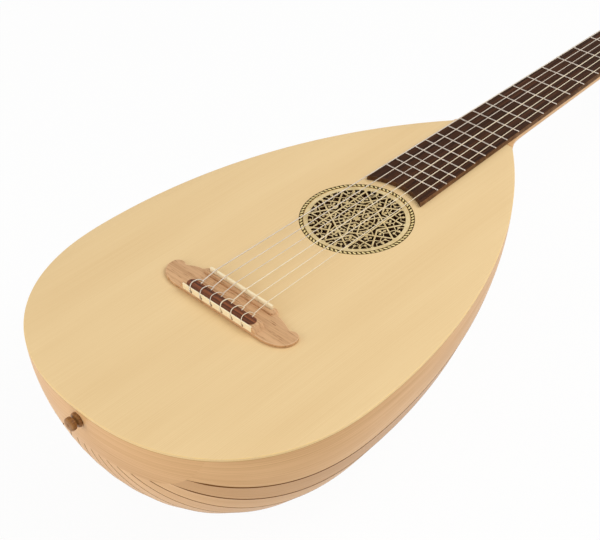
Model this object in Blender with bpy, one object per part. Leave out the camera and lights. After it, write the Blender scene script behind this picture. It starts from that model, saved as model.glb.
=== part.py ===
"""A six-string lute guitar: a ribbed bowl, a pierced rose, and a slotted head with worm gear tuners.

Metres, +Z up, +Y from the tail to the head, +X the treble side. The pieces are placed from the saddle line:
Y is measured from there, and Z from the top face of the soundboard. An empty then lifts the whole
instrument, so that the lowest rib stands on Z = 0 with the instrument centred over the origin.
"""

import math

import bmesh
import bpy
import numpy as np
from mathutils import Matrix, Vector

# Fits
GAP = 0.0003
RUNNING_GAP = 0.00025

# Scale and frets
SCALE_LENGTH = 0.650
FRET_COUNT = 19
JOINT_FRET = 12
FRET_WIDTH = 0.0022
FRET_HEIGHT = 0.0010

# Body outline
BODY_HALF_WIDTH = 0.1624
WIDEST_BEHIND_SADDLE = 0.01135
TAIL_BEHIND_SADDLE = 0.1729
TAIL_FULLNESS = 2.3
NECK_END_HALF_WIDTH = 0.0353

# Bowl
BOWL_DEPTH_SHARE = 0.98
RIB_COUNT = 15
SIDE_RIB_ANGLE = math.radians(15.1)
RIB_TAPER = 0.203
RIB_THICKNESS = 0.0020
CLASP_DEPTH = 0.042
CLASP_HALF_WIDTH = 0.108
CLASP_CORNER = 6.0
NECK_BLOCK_LENGTH = 0.055
TAIL_BLOCK_HALF_WIDTH = 0.034
TAIL_BLOCK_HEIGHT = 0.048
TAIL_BLOCK_FRONT = 0.150

# Soundboard, its bars and the rose
SOUNDBOARD_THICKNESS = 0.0025
BAR_BEHIND_NECK_BLOCK = 0.0080
BAR_AHEAD_OF_ROSE = 0.0233
BAR_BEHIND_ROSE = 0.0197
BAR_BEHIND_BAR = 0.0520
BAR_WIDTH = 0.006
BAR_HEIGHT = 0.014
BAR_END_HEIGHT = 0.005
BAR_SCOOP = 0.030

# Rose. The corners of its openings are drawn for a radius of 47.5, round six axes of symmetry. Openings that
# lie on an axis or half-way to the next come first, and each of the others has a twin across the axis.
ROSE_RADIUS = 0.0475
ROSE_THICKNESS = 0.0018
ROSE_RING_RADIUS = 0.0514
ROSE_TURNS = 6
ROSE_DRAWN_RADIUS = 47.5
ROSE_MIDDLE_OPENINGS = (
    ((2.2, 1.3), (4.7, 0.8), (6.4, 3.7), (3.1, 3.7)),
    ((9.2, 5.3), (14.4, 5.3), (11.8, 9.8)),
    ((21.8, -3.9), (26.9, -7.5), (22.9, 0.0), (26.9, 7.5), (21.8, 3.9)),
    ((32.1, 0.0), (34.0, -3.3), (39.7, 0.0), (34.0, 3.3)),
    ((31.6, 15.0), (34.3, 19.8), (28.8, 19.8), (29.1, 16.8)),
)
ROSE_PAIRED_OPENINGS = (
    ((12.0, 0.8), (15.3, 0.8), (14.9, 3.7), (12.0, 3.7)),
    ((16.4, 0.8), (19.9, 0.8), (19.9, 3.7), (16.0, 3.7)),
    ((15.6, 5.3), (19.9, 5.3), (19.9, 10.4), (14.6, 7.4)),
    ((25.6, 0.9), (31.2, 0.9), (33.0, 3.9), (28.7, 6.3)),
    ((28.0, 8.9), (31.0, 14.0), (28.7, 15.6), (22.7, 12.0)),
    ((33.9, 5.5), (35.7, 10.2), (32.5, 12.8), (29.7, 8.0)),
    ((35.0, 4.9), (42.2, 0.8), (42.2, 10.1), (36.8, 8.6)),
    ((36.9, 11.1), (41.6, 12.4), (37.4, 19.8), (33.3, 13.8)),
)

# Fingerboard, nut and neck
NUT_WIDTH = 0.0459
BOARD_WIDENING = 0.03885
BOARD_THICKNESS = 0.0043
BOARD_PAST_LAST_FRET = 0.0166
BOARD_TO_RING = 0.0077
FRET_SUNK = 0.0008
FRET_END_INSET = 0.0003
NUT_LENGTH = 0.006
NUT_LIP = 0.0016
NUT_BACK_FALL = 0.0020
NECK_DEPTH_NUT = 0.0160
NECK_DEPTH_BODY = 0.0210
NECK_FULLNESS = 2.2
HEEL_DEPTH = 0.0345
HEEL_RUN = 0.020

# Bridge
BRIDGE_BASE_HEIGHT = 0.0034
BRIDGE_BLOCK_SUNK = 0.0008
BRIDGE_REAR = 0.0290
BRIDGE_FRONT = 0.0045
LOBE_PLACE = 0.0615
LOBE_RADIUS = 0.0118
WING_NOTCH_INSET = 0.0035
WING_NOTCH_DROP = 0.0016
SHOULDER_HALF_WIDTH = 0.0450
TIE_HALF_WIDTH = 0.0412
TIE_BLOCK_INSET = 0.0004
TIE_BLOCK_SPREAD = 0.0040
TIE_BLOCK_LENGTH = 0.0105
TIE_BLOCK_HEIGHT = 0.0085
RIDGE_LENGTH = 0.0085
RIDGE_HEIGHT = 0.0062
RIDGE_END_INSET = 0.0020
RIDGE_FOOT_INSET = 0.0005
RIDGE_TOP_INSET = 0.0020
SADDLE_HALF_LENGTH = 0.0385
SADDLE_THICKNESS = 0.0026
SADDLE_HEIGHT = 0.0098
SADDLE_SLOT_FLOOR = 0.0022
TIE_HOLE_HEIGHT = 0.0047
TIE_HOLE_RADIUS = 0.0010
INLAY_HALF_LENGTH = 0.0390
INLAY_WIDTH = 0.0082
INLAY_THICKNESS = 0.0010

# Strap button
BUTTON_DROP = 0.0120
BUTTON_RADIUS = 0.0064
BUTTON_OUTER_RADIUS = 0.0058
BUTTON_WAIST_RADIUS = 0.0036
BUTTON_LENGTH = 0.0090
BUTTON_PEG_RADIUS = 0.0030
BUTTON_PEG_LENGTH = 0.0150

# Head
HEAD_TILT = math.radians(15.0)
HEAD_HALF_WIDTH = 0.037
HEAD_THICKNESS = 0.018
HEAD_FLARE = 0.020
HEAD_STRAIGHT_END = 0.152
HEAD_LENGTH = 0.172
SLOT_INNER = 0.009
SLOT_OUTER = 0.025
SLOT_START = 0.016
SLOT_END = 0.146

# Worm gear tuners, three on each side
ROLLER_PLACES = (0.046, 0.085, 0.124)
ROLLER_RADIUS = 0.0050
ROLLER_SEAT = 0.0045
AXLE_RADIUS = 0.0022
GEAR_TEETH = 14
GEAR_WIDTH = 0.0050
TOOTH_PITCH_RADIUS = 0.0055
WORM_PITCH_RADIUS = 0.0030
TOOTH_ADDENDUM = 0.0008
TOOTH_DEDENDUM = 0.0012
TOOTH_SHARE = 0.38
WORM_THREAD_LENGTH = 0.0090
SHAFT_RADIUS = 0.0015
PLATE_THICKNESS = 0.0012
PLATE_HEIGHT = 0.0166
PLATE_END_MARGIN = 0.0125
LUG_THICKNESS = 0.0020
LUG_HALF_WIDTH = 0.0036
KNOB_CLEARANCE = 0.0130
KNOB_LENGTH = 0.0140
KNOB_HALF_WIDTH = 0.0080
KNOB_HALF_THICKNESS = 0.0042
SCREW_HEAD_RADIUS = 0.0032
SCREW_HEAD_HEIGHT = 0.0014
TUNER_DROP = 0.0005

# Strings, from the high one on the treble side to the low one
STRING_DIAMETERS = (0.00072, 0.00082, 0.00102, 0.00076, 0.00090, 0.00110)
BRIDGE_STRING_PITCH = 0.0120
TIE_END_SIDE = 0.0030
TIE_LOOP_BULGE = 0.0012
NUT_STRING_PITCH = 0.0078
STRING_OVER_FRETS_AT_NUT = 0.0011
STRING_FALL_BEHIND_NUT = math.radians(27)
WINDING_PLACES = (0.0195, 0.0155, 0.0160)
WINDING_TURNS = 2.25
WINDING_SPACE = 0.0006
POINTS_PER_TURN = 12

# Facets, and how far inside its curve a flat may lie
RIB_STEPS = 10
CLASP_STEPS = 5
FACET_ROOM = 0.0008
ROLLER_SIDES = 12
WORM_SIDES = 10

# Values worked out from the ones above
RIM_Z = -SOUNDBOARD_THICKNESS - GAP
JOINT_PLACE = SCALE_LENGTH * 2 ** (-JOINT_FRET / 12)
FRET_TOP = GAP + BOARD_THICKNESS + FRET_HEIGHT
NUT_BACK = SCALE_LENGTH + NUT_LENGTH
BOARD_END = SCALE_LENGTH * 2 ** (-FRET_COUNT / 12) - BOARD_PAST_LAST_FRET
ROSE_PLACE = BOARD_END - BOARD_TO_RING - ROSE_RING_RADIUS
BAR_PLACES = (
    JOINT_PLACE - NECK_BLOCK_LENGTH - BAR_BEHIND_NECK_BLOCK,
    ROSE_PLACE + ROSE_RADIUS + BAR_AHEAD_OF_ROSE,
    ROSE_PLACE - ROSE_RADIUS - BAR_BEHIND_ROSE,
    ROSE_PLACE - ROSE_RADIUS - BAR_BEHIND_ROSE - BAR_BEHIND_BAR,
)
TIE_REAR = BRIDGE_REAR - TIE_BLOCK_INSET
TIE_FRONT = TIE_REAR - TIE_BLOCK_LENGTH
AXIS_Z = -HEAD_THICKNESS / 2 - TUNER_DROP
PLATE_INNER = HEAD_HALF_WIDTH + GAP
PLATE_OUTER = PLATE_INNER + PLATE_THICKNESS
WORM_X = PLATE_OUTER + WORM_PITCH_RADIUS + TOOTH_ADDENDUM + GAP
WORM_AHEAD = TOOTH_PITCH_RADIUS + WORM_PITCH_RADIUS
WORM_LEAD = 2 * math.pi * TOOTH_PITCH_RADIUS / GEAR_TEETH

# How far a cutter runs past what it cuts
CLEAR = 0.002


def nothing_left():
    """Empties the file."""
    for old in list(bpy.data.objects):
        bpy.data.objects.remove(old, do_unlink=True)


def material(name, colour, roughness, metallic=0.0):
    """A plain Principled material."""
    made = bpy.data.materials.new(name)
    made.use_nodes = True
    shader = made.node_tree.nodes["Principled BSDF"]
    shader.inputs["Base Color"].default_value = (*colour, 1.0)
    shader.inputs["Roughness"].default_value = roughness
    shader.inputs["Metallic"].default_value = metallic
    made.diffuse_color = (*colour, 1.0)
    return made


def empty(name, parent, place, turn=(0, 0, 0)):
    """An empty that carries pieces."""
    made = bpy.data.objects.new(name, None)
    bpy.context.scene.collection.objects.link(made)
    made.parent = parent
    made.location = place
    made.rotation_euler = turn
    return made


def piece(name, mesh, finish, parent, place=(0, 0, 0), turn=(0, 0, 0)):
    """An object that shows a mesh with one finish."""
    made = bpy.data.objects.new(name, mesh)
    bpy.context.scene.collection.objects.link(made)
    made.parent = parent
    made.location = place
    made.rotation_euler = turn
    if finish is not None:
        mesh.materials.clear()
        mesh.materials.append(finish)
    return made


def finished_mesh(name, points, faces, smooth_angle=math.radians(35)):
    """A mesh from points and faces, doubles merged, facing out and smooth except at its sharp edges."""
    mesh = bpy.data.meshes.new(name)
    mesh.from_pydata([tuple(p) for p in points], [], faces)
    work = bmesh.new()
    work.from_mesh(mesh)
    bmesh.ops.remove_doubles(work, verts=work.verts, dist=1e-6)
    bmesh.ops.recalc_face_normals(work, faces=work.faces)
    work.to_mesh(mesh)
    work.free()
    mesh.shade_smooth()
    mesh.set_sharp_from_angle(angle=smooth_angle)
    return mesh


def loft(name, rings):
    """A closed skin through rings of points, with a flat cap on the first and the last."""
    count = len(rings[0])
    points = [p for ring in rings for p in ring]
    faces = [tuple(range(count))[::-1], tuple(range(len(points) - count, len(points)))]
    for i in range(len(rings) - 1):
        low, high = i * count, (i + 1) * count
        for j in range(count):
            k = (j + 1) % count
            faces.append((low + j, low + k, high + k, high + j))
    return finished_mesh(name, points, faces)


def prism(name, outline, low, high):
    """A flat outline in X and Y carried from one height to another."""
    return loft(name, [[(x, y, low) for x, y in outline], [(x, y, high) for x, y in outline]])


def side_prism(name, outline, left, right):
    """An outline in Y and Z carried along X."""
    return loft(name, [[(left, y, z) for y, z in outline], [(right, y, z) for y, z in outline]])


def cylinder(name, radius, low, high, sides, holds_inside=False):
    """A cylinder along Z, whose flats clear the radius when it cuts a hole."""
    reach = radius / math.cos(math.pi / sides) if holds_inside else radius
    turns = [2 * math.pi * i / sides for i in range(sides)]
    return prism(name, [(reach * math.cos(t), reach * math.sin(t)) for t in turns], low, high)


def shell(name, outer, inner):
    """A wall between two grids of points, closed along all four sides."""
    rows, columns = len(outer), len(outer[0])
    points = [p for row in outer for p in row] + [p for row in inner for p in row]
    half = rows * columns
    faces = []
    for i in range(rows - 1):
        for j in range(columns - 1):
            a, b = i * columns + j, (i + 1) * columns + j
            faces.append((a, a + 1, b + 1, b))
            faces.append((half + a, half + b, half + b + 1, half + a + 1))
    for i in range(rows - 1):
        for j in (0, columns - 1):
            a, b = i * columns + j, (i + 1) * columns + j
            faces.append((a, b, half + b, half + a))
    for j in range(columns - 1):
        for i in (0, rows - 1):
            a = i * columns + j
            faces.append((a, half + a, half + a + 1, a + 1))
    return finished_mesh(name, points, faces)


def boolean(target, mesh, operation, place=(0, 0, 0), turn=(0, 0, 0)):
    """Cuts a mesh out of a piece, or joins it on, with a hidden guide object in the piece's own frame."""
    guide = piece(target.name + "_guide", mesh, None, target, place, turn)
    guide.hide_render = True
    guide.display_type = "WIRE"
    change = target.modifiers.new(operation.title(), "BOOLEAN")
    change.operation = operation
    change.object = guide


def settled(target):
    """The piece's mesh with its modifiers applied. The piece itself and its guides go."""
    bpy.context.view_layer.update()
    graph = bpy.context.evaluated_depsgraph_get()
    mesh = bpy.data.meshes.new_from_object(target.evaluated_get(graph))
    for guide in list(target.children):
        bpy.data.objects.remove(guide, do_unlink=True)
    bpy.data.objects.remove(target, do_unlink=True)
    mesh.shade_smooth()
    mesh.set_sharp_from_angle(angle=math.radians(35))
    return mesh


def joined(name, meshes):
    """Several separate closed meshes in one mesh, as one cutter."""
    work = bmesh.new()
    for mesh in meshes:
        work.from_mesh(mesh)
    mesh = bpy.data.meshes.new(name)
    work.to_mesh(mesh)
    work.free()
    return mesh


def moved(mesh, place, turn=None):
    """The mesh itself turned and carried to a place."""
    mesh.transform(Matrix.Translation(place) @ (turn or Matrix.Identity(4)))
    return mesh


def side_arc():
    """Radius and centre X of the arc from the widest point to the neck end."""
    rise = JOINT_PLACE + WIDEST_BEHIND_SADDLE
    inset = BODY_HALF_WIDTH - NECK_END_HALF_WIDTH
    radius = (inset**2 + rise**2) / (2 * inset)
    return radius, BODY_HALF_WIDTH - radius


def neck_side_point(y):
    """Half-width and outward normal of the outline at Y, in front of the widest point."""
    radius, centre = side_arc()
    half = centre + math.sqrt(radius**2 - (y + WIDEST_BEHIND_SADDLE) ** 2)
    return half, y, ((half - centre) / radius, (y + WIDEST_BEHIND_SADDLE) / radius)


def front_place(share):
    """Y at this share of the way from the neck end to the widest point."""
    return JOINT_PLACE - (JOINT_PLACE + WIDEST_BEHIND_SADDLE) * share


def tail_side_point(turn):
    """Half-width and outward normal of the outline behind the widest point, along a quarter superellipse."""
    reach = TAIL_BEHIND_SADDLE - WIDEST_BEHIND_SADDLE
    c, s = max(math.cos(turn), 0.0), math.sin(turn)
    power = 2 / TAIL_FULLNESS
    half = BODY_HALF_WIDTH * c**power
    normal = Vector((c ** (2 - power) / BODY_HALF_WIDTH, -(s ** (2 - power)) / reach)).normalized()
    return half, -WIDEST_BEHIND_SADDLE - reach * s**power, (normal.x, normal.y)


def clasp_turn(angle, set_back):
    """Where the clasp's lower edge crosses the rib line at this angle, as a turn of the tail curve."""
    deep, wide = CLASP_DEPTH + set_back, CLASP_HALF_WIDTH + set_back

    def below_edge(half):
        depth = deep * (1 - (half * math.cos(angle) / wide) ** CLASP_CORNER)
        return BOWL_DEPTH_SHARE * half * math.sin(angle) > depth

    low, high = 0.0, BODY_HALF_WIDTH
    for _ in range(50):
        middle = (low + high) / 2
        if below_edge(middle):
            high = middle
        else:
            low = middle
    return math.acos(min((high / BODY_HALF_WIDTH) ** (TAIL_FULLNESS / 2), 1.0))


def bowl_point(half, y, angle):
    """A point of the bowl at this angle, from the treble rim down and round to the bass rim."""
    return Vector((half * math.cos(angle), y, RIM_Z - BOWL_DEPTH_SHARE * half * math.sin(angle)))


def bowl_line(angle, stations, inward):
    """Points of the bowl along one angle, set inward from the outer face."""
    line = []
    for half, y, (nx, ny) in stations:
        line.append(bowl_point(half - inward * nx, y - inward * ny, angle))
    return line


def rib_stations(angle):
    """Outline points from the neck end to the clasp."""
    last = clasp_turn(angle, GAP)
    steps = RIB_STEPS - 2
    return front_stations()[:-1] + [tail_side_point(last * i / steps) for i in range(steps + 1)]


def front_stations():
    """Outline points from the neck end to the widest point."""
    return [neck_side_point(front_place(i / RIB_STEPS)) for i in range(RIB_STEPS + 1)]


def seam_angles():
    """The seams between ribs, round the bowl. The ribs get narrower from the middle to the sides."""
    side = RIB_COUNT // 2
    middle = (math.pi / 2 - SIDE_RIB_ANGLE) / (side + 0.5 - RIB_TAPER * (side + 1) / 2)
    widths = [middle * (1 - RIB_TAPER * abs(i) / side) for i in range(-side, side + 1)]
    angles = [SIDE_RIB_ANGLE]
    for width in widths:
        angles.append(angles[-1] + width)
    return angles


def bowl_angles():
    """Every angle round the bowl at which its flats meet: the seams, and the bends across the side ribs."""
    side = side_rib_angles()
    return side[:-1] + seam_angles() + [math.pi - a for a in reversed(side[:-1])]


def side_rib_angles():
    """The angles of a side rib's edges and bends, from the rim."""
    flats = 3
    return [SIDE_RIB_ANGLE * i / flats for i in range(flats + 1)]


def drawn_in(line, towards, distance):
    """A line of points moved a distance towards another line."""
    return [p + (q - p).normalized() * distance for p, q in zip(line, towards)]


def rib(name, angles, finish, parent, free_edges=(True, True)):
    """One bent rib, flat across between its angles, with a glue gap along each free edge."""
    faces = []
    for inward in (0.0, RIB_THICKNESS):
        lines = [bowl_line(a, rib_stations(a), inward) for a in angles]
        first = drawn_in(lines[0], lines[1], GAP / 2) if free_edges[0] else lines[0]
        last = drawn_in(lines[-1], lines[-2], GAP / 2) if free_edges[1] else lines[-1]
        faces.append([first, *lines[1:-1], last])
    return piece(name, shell(name, faces[0], faces[1]), finish, parent)


def ribs(finish, parent):
    """The side ribs and the narrow ribs between them."""
    seams = seam_angles()
    side = side_rib_angles()
    rib("treble_side_rib", side, finish, parent, (False, True))
    for i, (low, high) in enumerate(zip(seams, seams[1:])):
        rib(f"rib_{i + 1:02d}", [low, high], finish, parent)
    rib("bass_side_rib", [math.pi - a for a in reversed(side)], finish, parent, (True, False))


def end_clasp(finish, parent):
    """The band round the tail that covers the ends of the ribs."""
    rows = CLASP_STEPS
    outer, inner = [], []
    for angle in bowl_angles():
        first = clasp_turn(angle, 0.0)
        stations = [tail_side_point(first + (math.pi / 2 - first) * j / rows) for j in range(rows + 1)]
        outer.append(bowl_line(angle, stations, 0.0))
        inner.append(bowl_line(angle, stations, RIB_THICKNESS))
    made = piece("end_clasp", shell("end_clasp", outer, inner), finish, parent)
    drill_for_button(made)


def drill_for_button(target):
    """The hole for the strap button's peg."""
    hole = cylinder("peg_hole", BUTTON_PEG_RADIUS + GAP, -BUTTON_PEG_LENGTH - CLEAR, CLEAR, 16, True)
    boolean(target, hole, "DIFFERENCE", (0, tail_face() - GAP, -BUTTON_DROP), (math.radians(90), 0, 0))


def tail_surface(x, drop):
    """Y of the bowl's outer face behind the tail at this X, and this far below the rim."""
    reach = TAIL_BEHIND_SADDLE - WIDEST_BEHIND_SADDLE
    half = math.hypot(x, drop / BOWL_DEPTH_SHARE)
    left = 1 - (half / BODY_HALF_WIDTH) ** TAIL_FULLNESS
    return -WIDEST_BEHIND_SADDLE - reach * left ** (1 / TAIL_FULLNESS)


def tail_face():
    """Y of the tail where the strap button sits."""
    return tail_surface(0, BUTTON_DROP + RIM_Z)


def tail_block(finish, parent):
    """The block inside the tail. Its back follows the clasp and the ribs."""
    columns, rows = 8, 6
    back, front = [], []
    for i in range(columns + 1):
        x = TAIL_BLOCK_HALF_WIDTH * (2 * i / columns - 1)
        drops = [TAIL_BLOCK_HEIGHT * j / rows for j in range(rows + 1)]
        inset = RIB_THICKNESS + FACET_ROOM + GAP
        back.append([Vector((x, tail_surface(x, d) + inset, RIM_Z - d)) for d in drops])
        front.append([Vector((x, -TAIL_BLOCK_FRONT, RIM_Z - d)) for d in drops])
    made = piece("tail_block", shell("tail_block", back, front), finish, parent)
    drill_for_button(made)


def inner_half(y):
    """Half-width of the hollow at Y, between the flats of the ribs, less a glue gap."""
    inner = [(py - RIB_THICKNESS * ny, half - RIB_THICKNESS * nx) for half, py, (nx, ny) in front_stations()]
    places, halves = zip(*reversed(inner))
    return float(np.interp(y, places, halves)) - GAP / neck_side_point(y)[2][0]


def neck_block(finish, parent):
    """The block inside the neck end, with a flat for every rib."""
    start = JOINT_PLACE - NECK_BLOCK_LENGTH
    bends = [y - RIB_THICKNESS * ny for _, y, (_, ny) in front_stations()]
    rings = []
    for y in [JOINT_PLACE, *[bend for bend in bends if bend > start], start]:
        half = inner_half(y)
        rings.append([bowl_point(half, y, a) for a in bowl_angles()])
    piece("neck_block", loft("neck_block", rings), finish, parent)


def bars(finish, parent):
    """The cross bars under the soundboard, thinner at their ends."""
    for i, place in enumerate(BAR_PLACES):
        near = min(inner_half(place - BAR_WIDTH / 2), inner_half(place + BAR_WIDTH / 2))
        half = near - GAP
        foot = RIM_Z - BAR_END_HEIGHT
        low = math.sqrt(half**2 - (BAR_END_HEIGHT / BOWL_DEPTH_SHARE) ** 2) - GAP
        shape = [(-half, RIM_Z), (-low, foot), (-half + BAR_SCOOP, RIM_Z - BAR_HEIGHT)]
        shape += [(-x, z) for x, z in reversed(shape)]
        back, front = place - BAR_WIDTH / 2, place + BAR_WIDTH / 2
        mesh = loft("bar", [[(x, back, z) for x, z in shape], [(x, front, z) for x, z in shape]])
        piece(f"cross_bar_{i + 1}", mesh, finish, parent)


def body_outline():
    """The outline of the soundboard, from the neck end round the tail and back."""
    steps = 18
    front = [neck_side_point(front_place(i / steps))[:2] for i in range(steps)]
    tail = [tail_side_point(math.pi / 2 * i / steps)[:2] for i in range(steps)]
    treble = front + tail
    return treble + [(0.0, -TAIL_BEHIND_SADDLE)] + [(-x, y) for x, y in reversed(treble)]


def soundboard(finish, parent):
    """The soundboard with its round hole."""
    made = piece("soundboard", prism("soundboard", body_outline(), -SOUNDBOARD_THICKNESS, 0), finish, parent)
    hole = cylinder("rose_hole", ROSE_RADIUS + GAP, -SOUNDBOARD_THICKNESS - CLEAR, CLEAR, 48, True)
    boolean(made, hole, "DIFFERENCE", (0, ROSE_PLACE, 0))


def pierced_disc(name, radius, sides, holes, thickness):
    """A flat disc with holes, as a filled curve with a thickness."""
    curve = bpy.data.curves.new(name, "CURVE")
    curve.dimensions = "2D"
    curve.fill_mode = "BOTH"
    curve.extrude = thickness / 2
    turns = [2 * math.pi * i / sides for i in range(sides)]
    rim = [(radius * math.cos(t), radius * math.sin(t)) for t in turns]
    for loop in [rim, *holes]:
        spline = curve.splines.new("POLY")
        spline.points.add(len(loop) - 1)
        spline.use_cyclic_u = True
        for point, (x, y) in zip(spline.points, loop):
            point.co = (x, y, 0, 1)
    return settled(piece(name + "_draft", curve, None, None))


def rose_holes():
    """The openings between the rose's straps, in all their turns."""
    twins = [tuple((x, -y) for x, y in opening) for opening in ROSE_PAIRED_OPENINGS]
    scale = ROSE_RADIUS / ROSE_DRAWN_RADIUS
    holes = []
    for opening in (*ROSE_MIDDLE_OPENINGS, *ROSE_PAIRED_OPENINGS, *twins):
        for i in range(ROSE_TURNS):
            angle = 2 * math.pi * i / ROSE_TURNS
            c, s = scale * math.cos(angle), scale * math.sin(angle)
            holes.append([(c * x - s * y, s * x + c * y) for x, y in opening])
    return holes


def rose(finish, parent):
    """The pierced rose, flush in the soundboard's hole."""
    mesh = pierced_disc("rose", ROSE_RADIUS, 48, rose_holes(), ROSE_THICKNESS)
    piece("rose", mesh, finish, parent, (0, ROSE_PLACE, -ROSE_THICKNESS / 2 - GAP))


def board_half(y):
    """Half-width of the fingerboard at Y."""
    return NUT_WIDTH / 2 + BOARD_WIDENING / 2 * (SCALE_LENGTH - y)


def board_end_arc():
    """The hollow end of the fingerboard, an arc round the rose, from treble to bass."""
    radius = ROSE_RING_RADIUS + BOARD_TO_RING
    reach = math.asin(board_half(ROSE_PLACE + radius) / radius)
    for _ in range(4):
        reach = math.asin(board_half(ROSE_PLACE + radius * math.cos(reach)) / radius)
    turns = [reach * (1 - i / 6) for i in range(13)]
    return [(radius * math.sin(t), ROSE_PLACE + radius * math.cos(t)) for t in turns]


def fret_bars():
    """All the frets as crowned bars, sunk into the board."""
    bars_made = []
    half = FRET_WIDTH / 2
    top = GAP + BOARD_THICKNESS
    foot, shoulder = top - FRET_SUNK, top + FRET_HEIGHT * 0.4
    for number in range(1, FRET_COUNT + 1):
        y = SCALE_LENGTH * 2 ** (-number / 12)
        crown = [(y - half, foot), (y + half, foot), (y + half, shoulder)]
        crown += [(y + half * 0.5, top + FRET_HEIGHT), (y - half * 0.5, top + FRET_HEIGHT)]
        crown += [(y - half, shoulder)]
        reach = board_half(y) - FRET_END_INSET
        bars_made.append(side_prism("fret", crown, -reach, reach))
    return joined("frets", bars_made)


def fingerboard(finish, parent):
    """The tapered fingerboard and its frets."""
    half, end = board_half(SCALE_LENGTH), SCALE_LENGTH - GAP
    outline = [(-half, end), (half, end)] + board_end_arc()
    made = piece("fingerboard", prism("fingerboard", outline, GAP, GAP + BOARD_THICKNESS), finish, parent)
    boolean(made, fret_bars(), "UNION")


def neck_section(y, depth, half):
    """A D-shaped section, flat on top."""
    points = []
    steps = 14
    for i in range(steps + 1):
        angle = math.pi * i / steps
        c, s = math.cos(angle), math.sin(angle)
        across = math.copysign(abs(c) ** (2 / NECK_FULLNESS), c)
        points.append((half * across, y, -depth * s ** (2 / NECK_FULLNESS)))
    return points


def neck(finish, parent):
    """The neck, from a heel as deep as the bowl's end to the nut."""
    rings = []
    start, end = JOINT_PLACE + GAP, NUT_BACK
    heel_runs = (0, 0.2, 0.45, 0.75, 1.15, 1.7, 2.5, 4.0)
    places = [start + HEEL_RUN * run for run in heel_runs]
    for y in [*places, (start + end) / 2, end]:
        share = (y - start) / (end - start)
        swell = math.exp(-(((y - start) / HEEL_RUN) ** 1.4))
        depth = NECK_DEPTH_BODY + (NECK_DEPTH_NUT - NECK_DEPTH_BODY) * share
        half = board_half(min(y, SCALE_LENGTH))
        half += (NECK_END_HALF_WIDTH - half) * swell
        rings.append(neck_section(y, depth + (HEEL_DEPTH - depth) * swell, half))
    piece("neck", loft("neck", rings), finish, parent)


def string_line(number):
    """X at the bridge and at the nut, and the radius, of a string counted from the treble side."""
    place = 3.5 - number
    return place * BRIDGE_STRING_PITCH, place * NUT_STRING_PITCH, STRING_DIAMETERS[number - 1] / 2


def saddle_break():
    """Height at which the strings leave the saddle."""
    return SADDLE_HEIGHT + GAP + max(STRING_DIAMETERS) / 2


def nut_break():
    """Y and Z of the strings' bend on the nut."""
    return SCALE_LENGTH + NUT_LENGTH / 4, FRET_TOP + STRING_OVER_FRETS_AT_NUT


def nut(finish, parent):
    """The nut, with a slot for each string that slopes back towards the head."""
    front, back = SCALE_LENGTH, NUT_BACK - GAP
    top = FRET_TOP + NUT_LIP
    shape = [(front, GAP), (back, GAP), (back, top - NUT_BACK_FALL)]
    shape += [(front + NUT_LENGTH * 0.4, top), (front, top)]
    half = NUT_WIDTH / 2
    made = piece("nut", side_prism("nut", shape, -half, half), finish, parent)
    bend_y, bend_z = nut_break()
    cutters = []
    for number in range(1, 7):
        _, x, radius = string_line(number)
        floor = bend_z - radius - GAP
        drop = math.tan(STRING_FALL_BEHIND_NUT) * (back + CLEAR - bend_y)
        slot = [(front - CLEAR, floor), (bend_y, floor), (back + CLEAR, floor - drop)]
        slot += [(back + CLEAR, top + CLEAR), (front - CLEAR, top + CLEAR)]
        cutters.append(side_prism("slot", slot, x - radius - GAP, x + radius + GAP))
    boolean(made, joined("nut_slots", cutters), "DIFFERENCE")


def lobe_arc(first, last, steps):
    """Part of the round end of the treble wing of the bridge."""
    points = []
    for i in range(steps + 1):
        angle = math.radians(first + (last - first) * i / steps)
        x = LOBE_PLACE + LOBE_RADIUS * math.cos(angle)
        points.append((x, -BRIDGE_REAR + LOBE_RADIUS + LOBE_RADIUS * math.sin(angle)))
    return points


def bridge_outline():
    """The outline of the bridge: a straight rear edge, round wings with a notch, and a raised front."""
    wing = lobe_arc(-90, 100, 11)
    notch_x, notch_y = LOBE_PLACE - WING_NOTCH_INSET, wing[-1][1] - WING_NOTCH_DROP
    ease = []
    steps = 5
    for i in range(steps + 1):
        share = i / steps
        x = notch_x + (SHOULDER_HALF_WIDTH - notch_x) * share
        rise = (1 - math.cos(math.pi * share)) / 2
        ease.append((x, notch_y + (BRIDGE_FRONT - notch_y) * rise))
    right = wing + ease
    return right + [(-x, y) for x, y in reversed(right)]


def bridge(finish, parent):
    """The bridge: a thin winged base, a tie block at the rear and a ridge that holds the saddle."""
    made = piece("bridge", prism("bridge", bridge_outline(), GAP, BRIDGE_BASE_HEIGHT), finish, parent)
    boolean(made, tie_block_mesh(), "UNION")
    boolean(made, ridge_mesh(), "UNION")
    reach, thick = SADDLE_HALF_LENGTH + GAP, SADDLE_THICKNESS / 2 + GAP
    outline = [(-reach, -thick), (reach, -thick), (reach, thick), (-reach, thick)]
    boolean(made, prism("saddle_slot", outline, SADDLE_SLOT_FLOOR, RIDGE_HEIGHT + CLEAR), "DIFFERENCE")
    outline = stadium(INLAY_HALF_LENGTH + GAP, INLAY_WIDTH / 2 + GAP, inlay_place())
    seat = prism("inlay_seat", outline, TIE_BLOCK_HEIGHT - INLAY_THICKNESS, TIE_BLOCK_HEIGHT + CLEAR)
    boolean(made, seat, "DIFFERENCE")
    holes = []
    for number in range(1, 7):
        x = string_line(number)[0]
        hole = cylinder("hole", TIE_HOLE_RADIUS, -CLEAR, TIE_BLOCK_LENGTH + CLEAR, 10, True)
        holes.append(moved(hole, (x, -TIE_REAR, TIE_HOLE_HEIGHT), Matrix.Rotation(math.radians(-90), 4, "X")))
    boolean(made, joined("tie_holes", holes), "DIFFERENCE")


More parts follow.
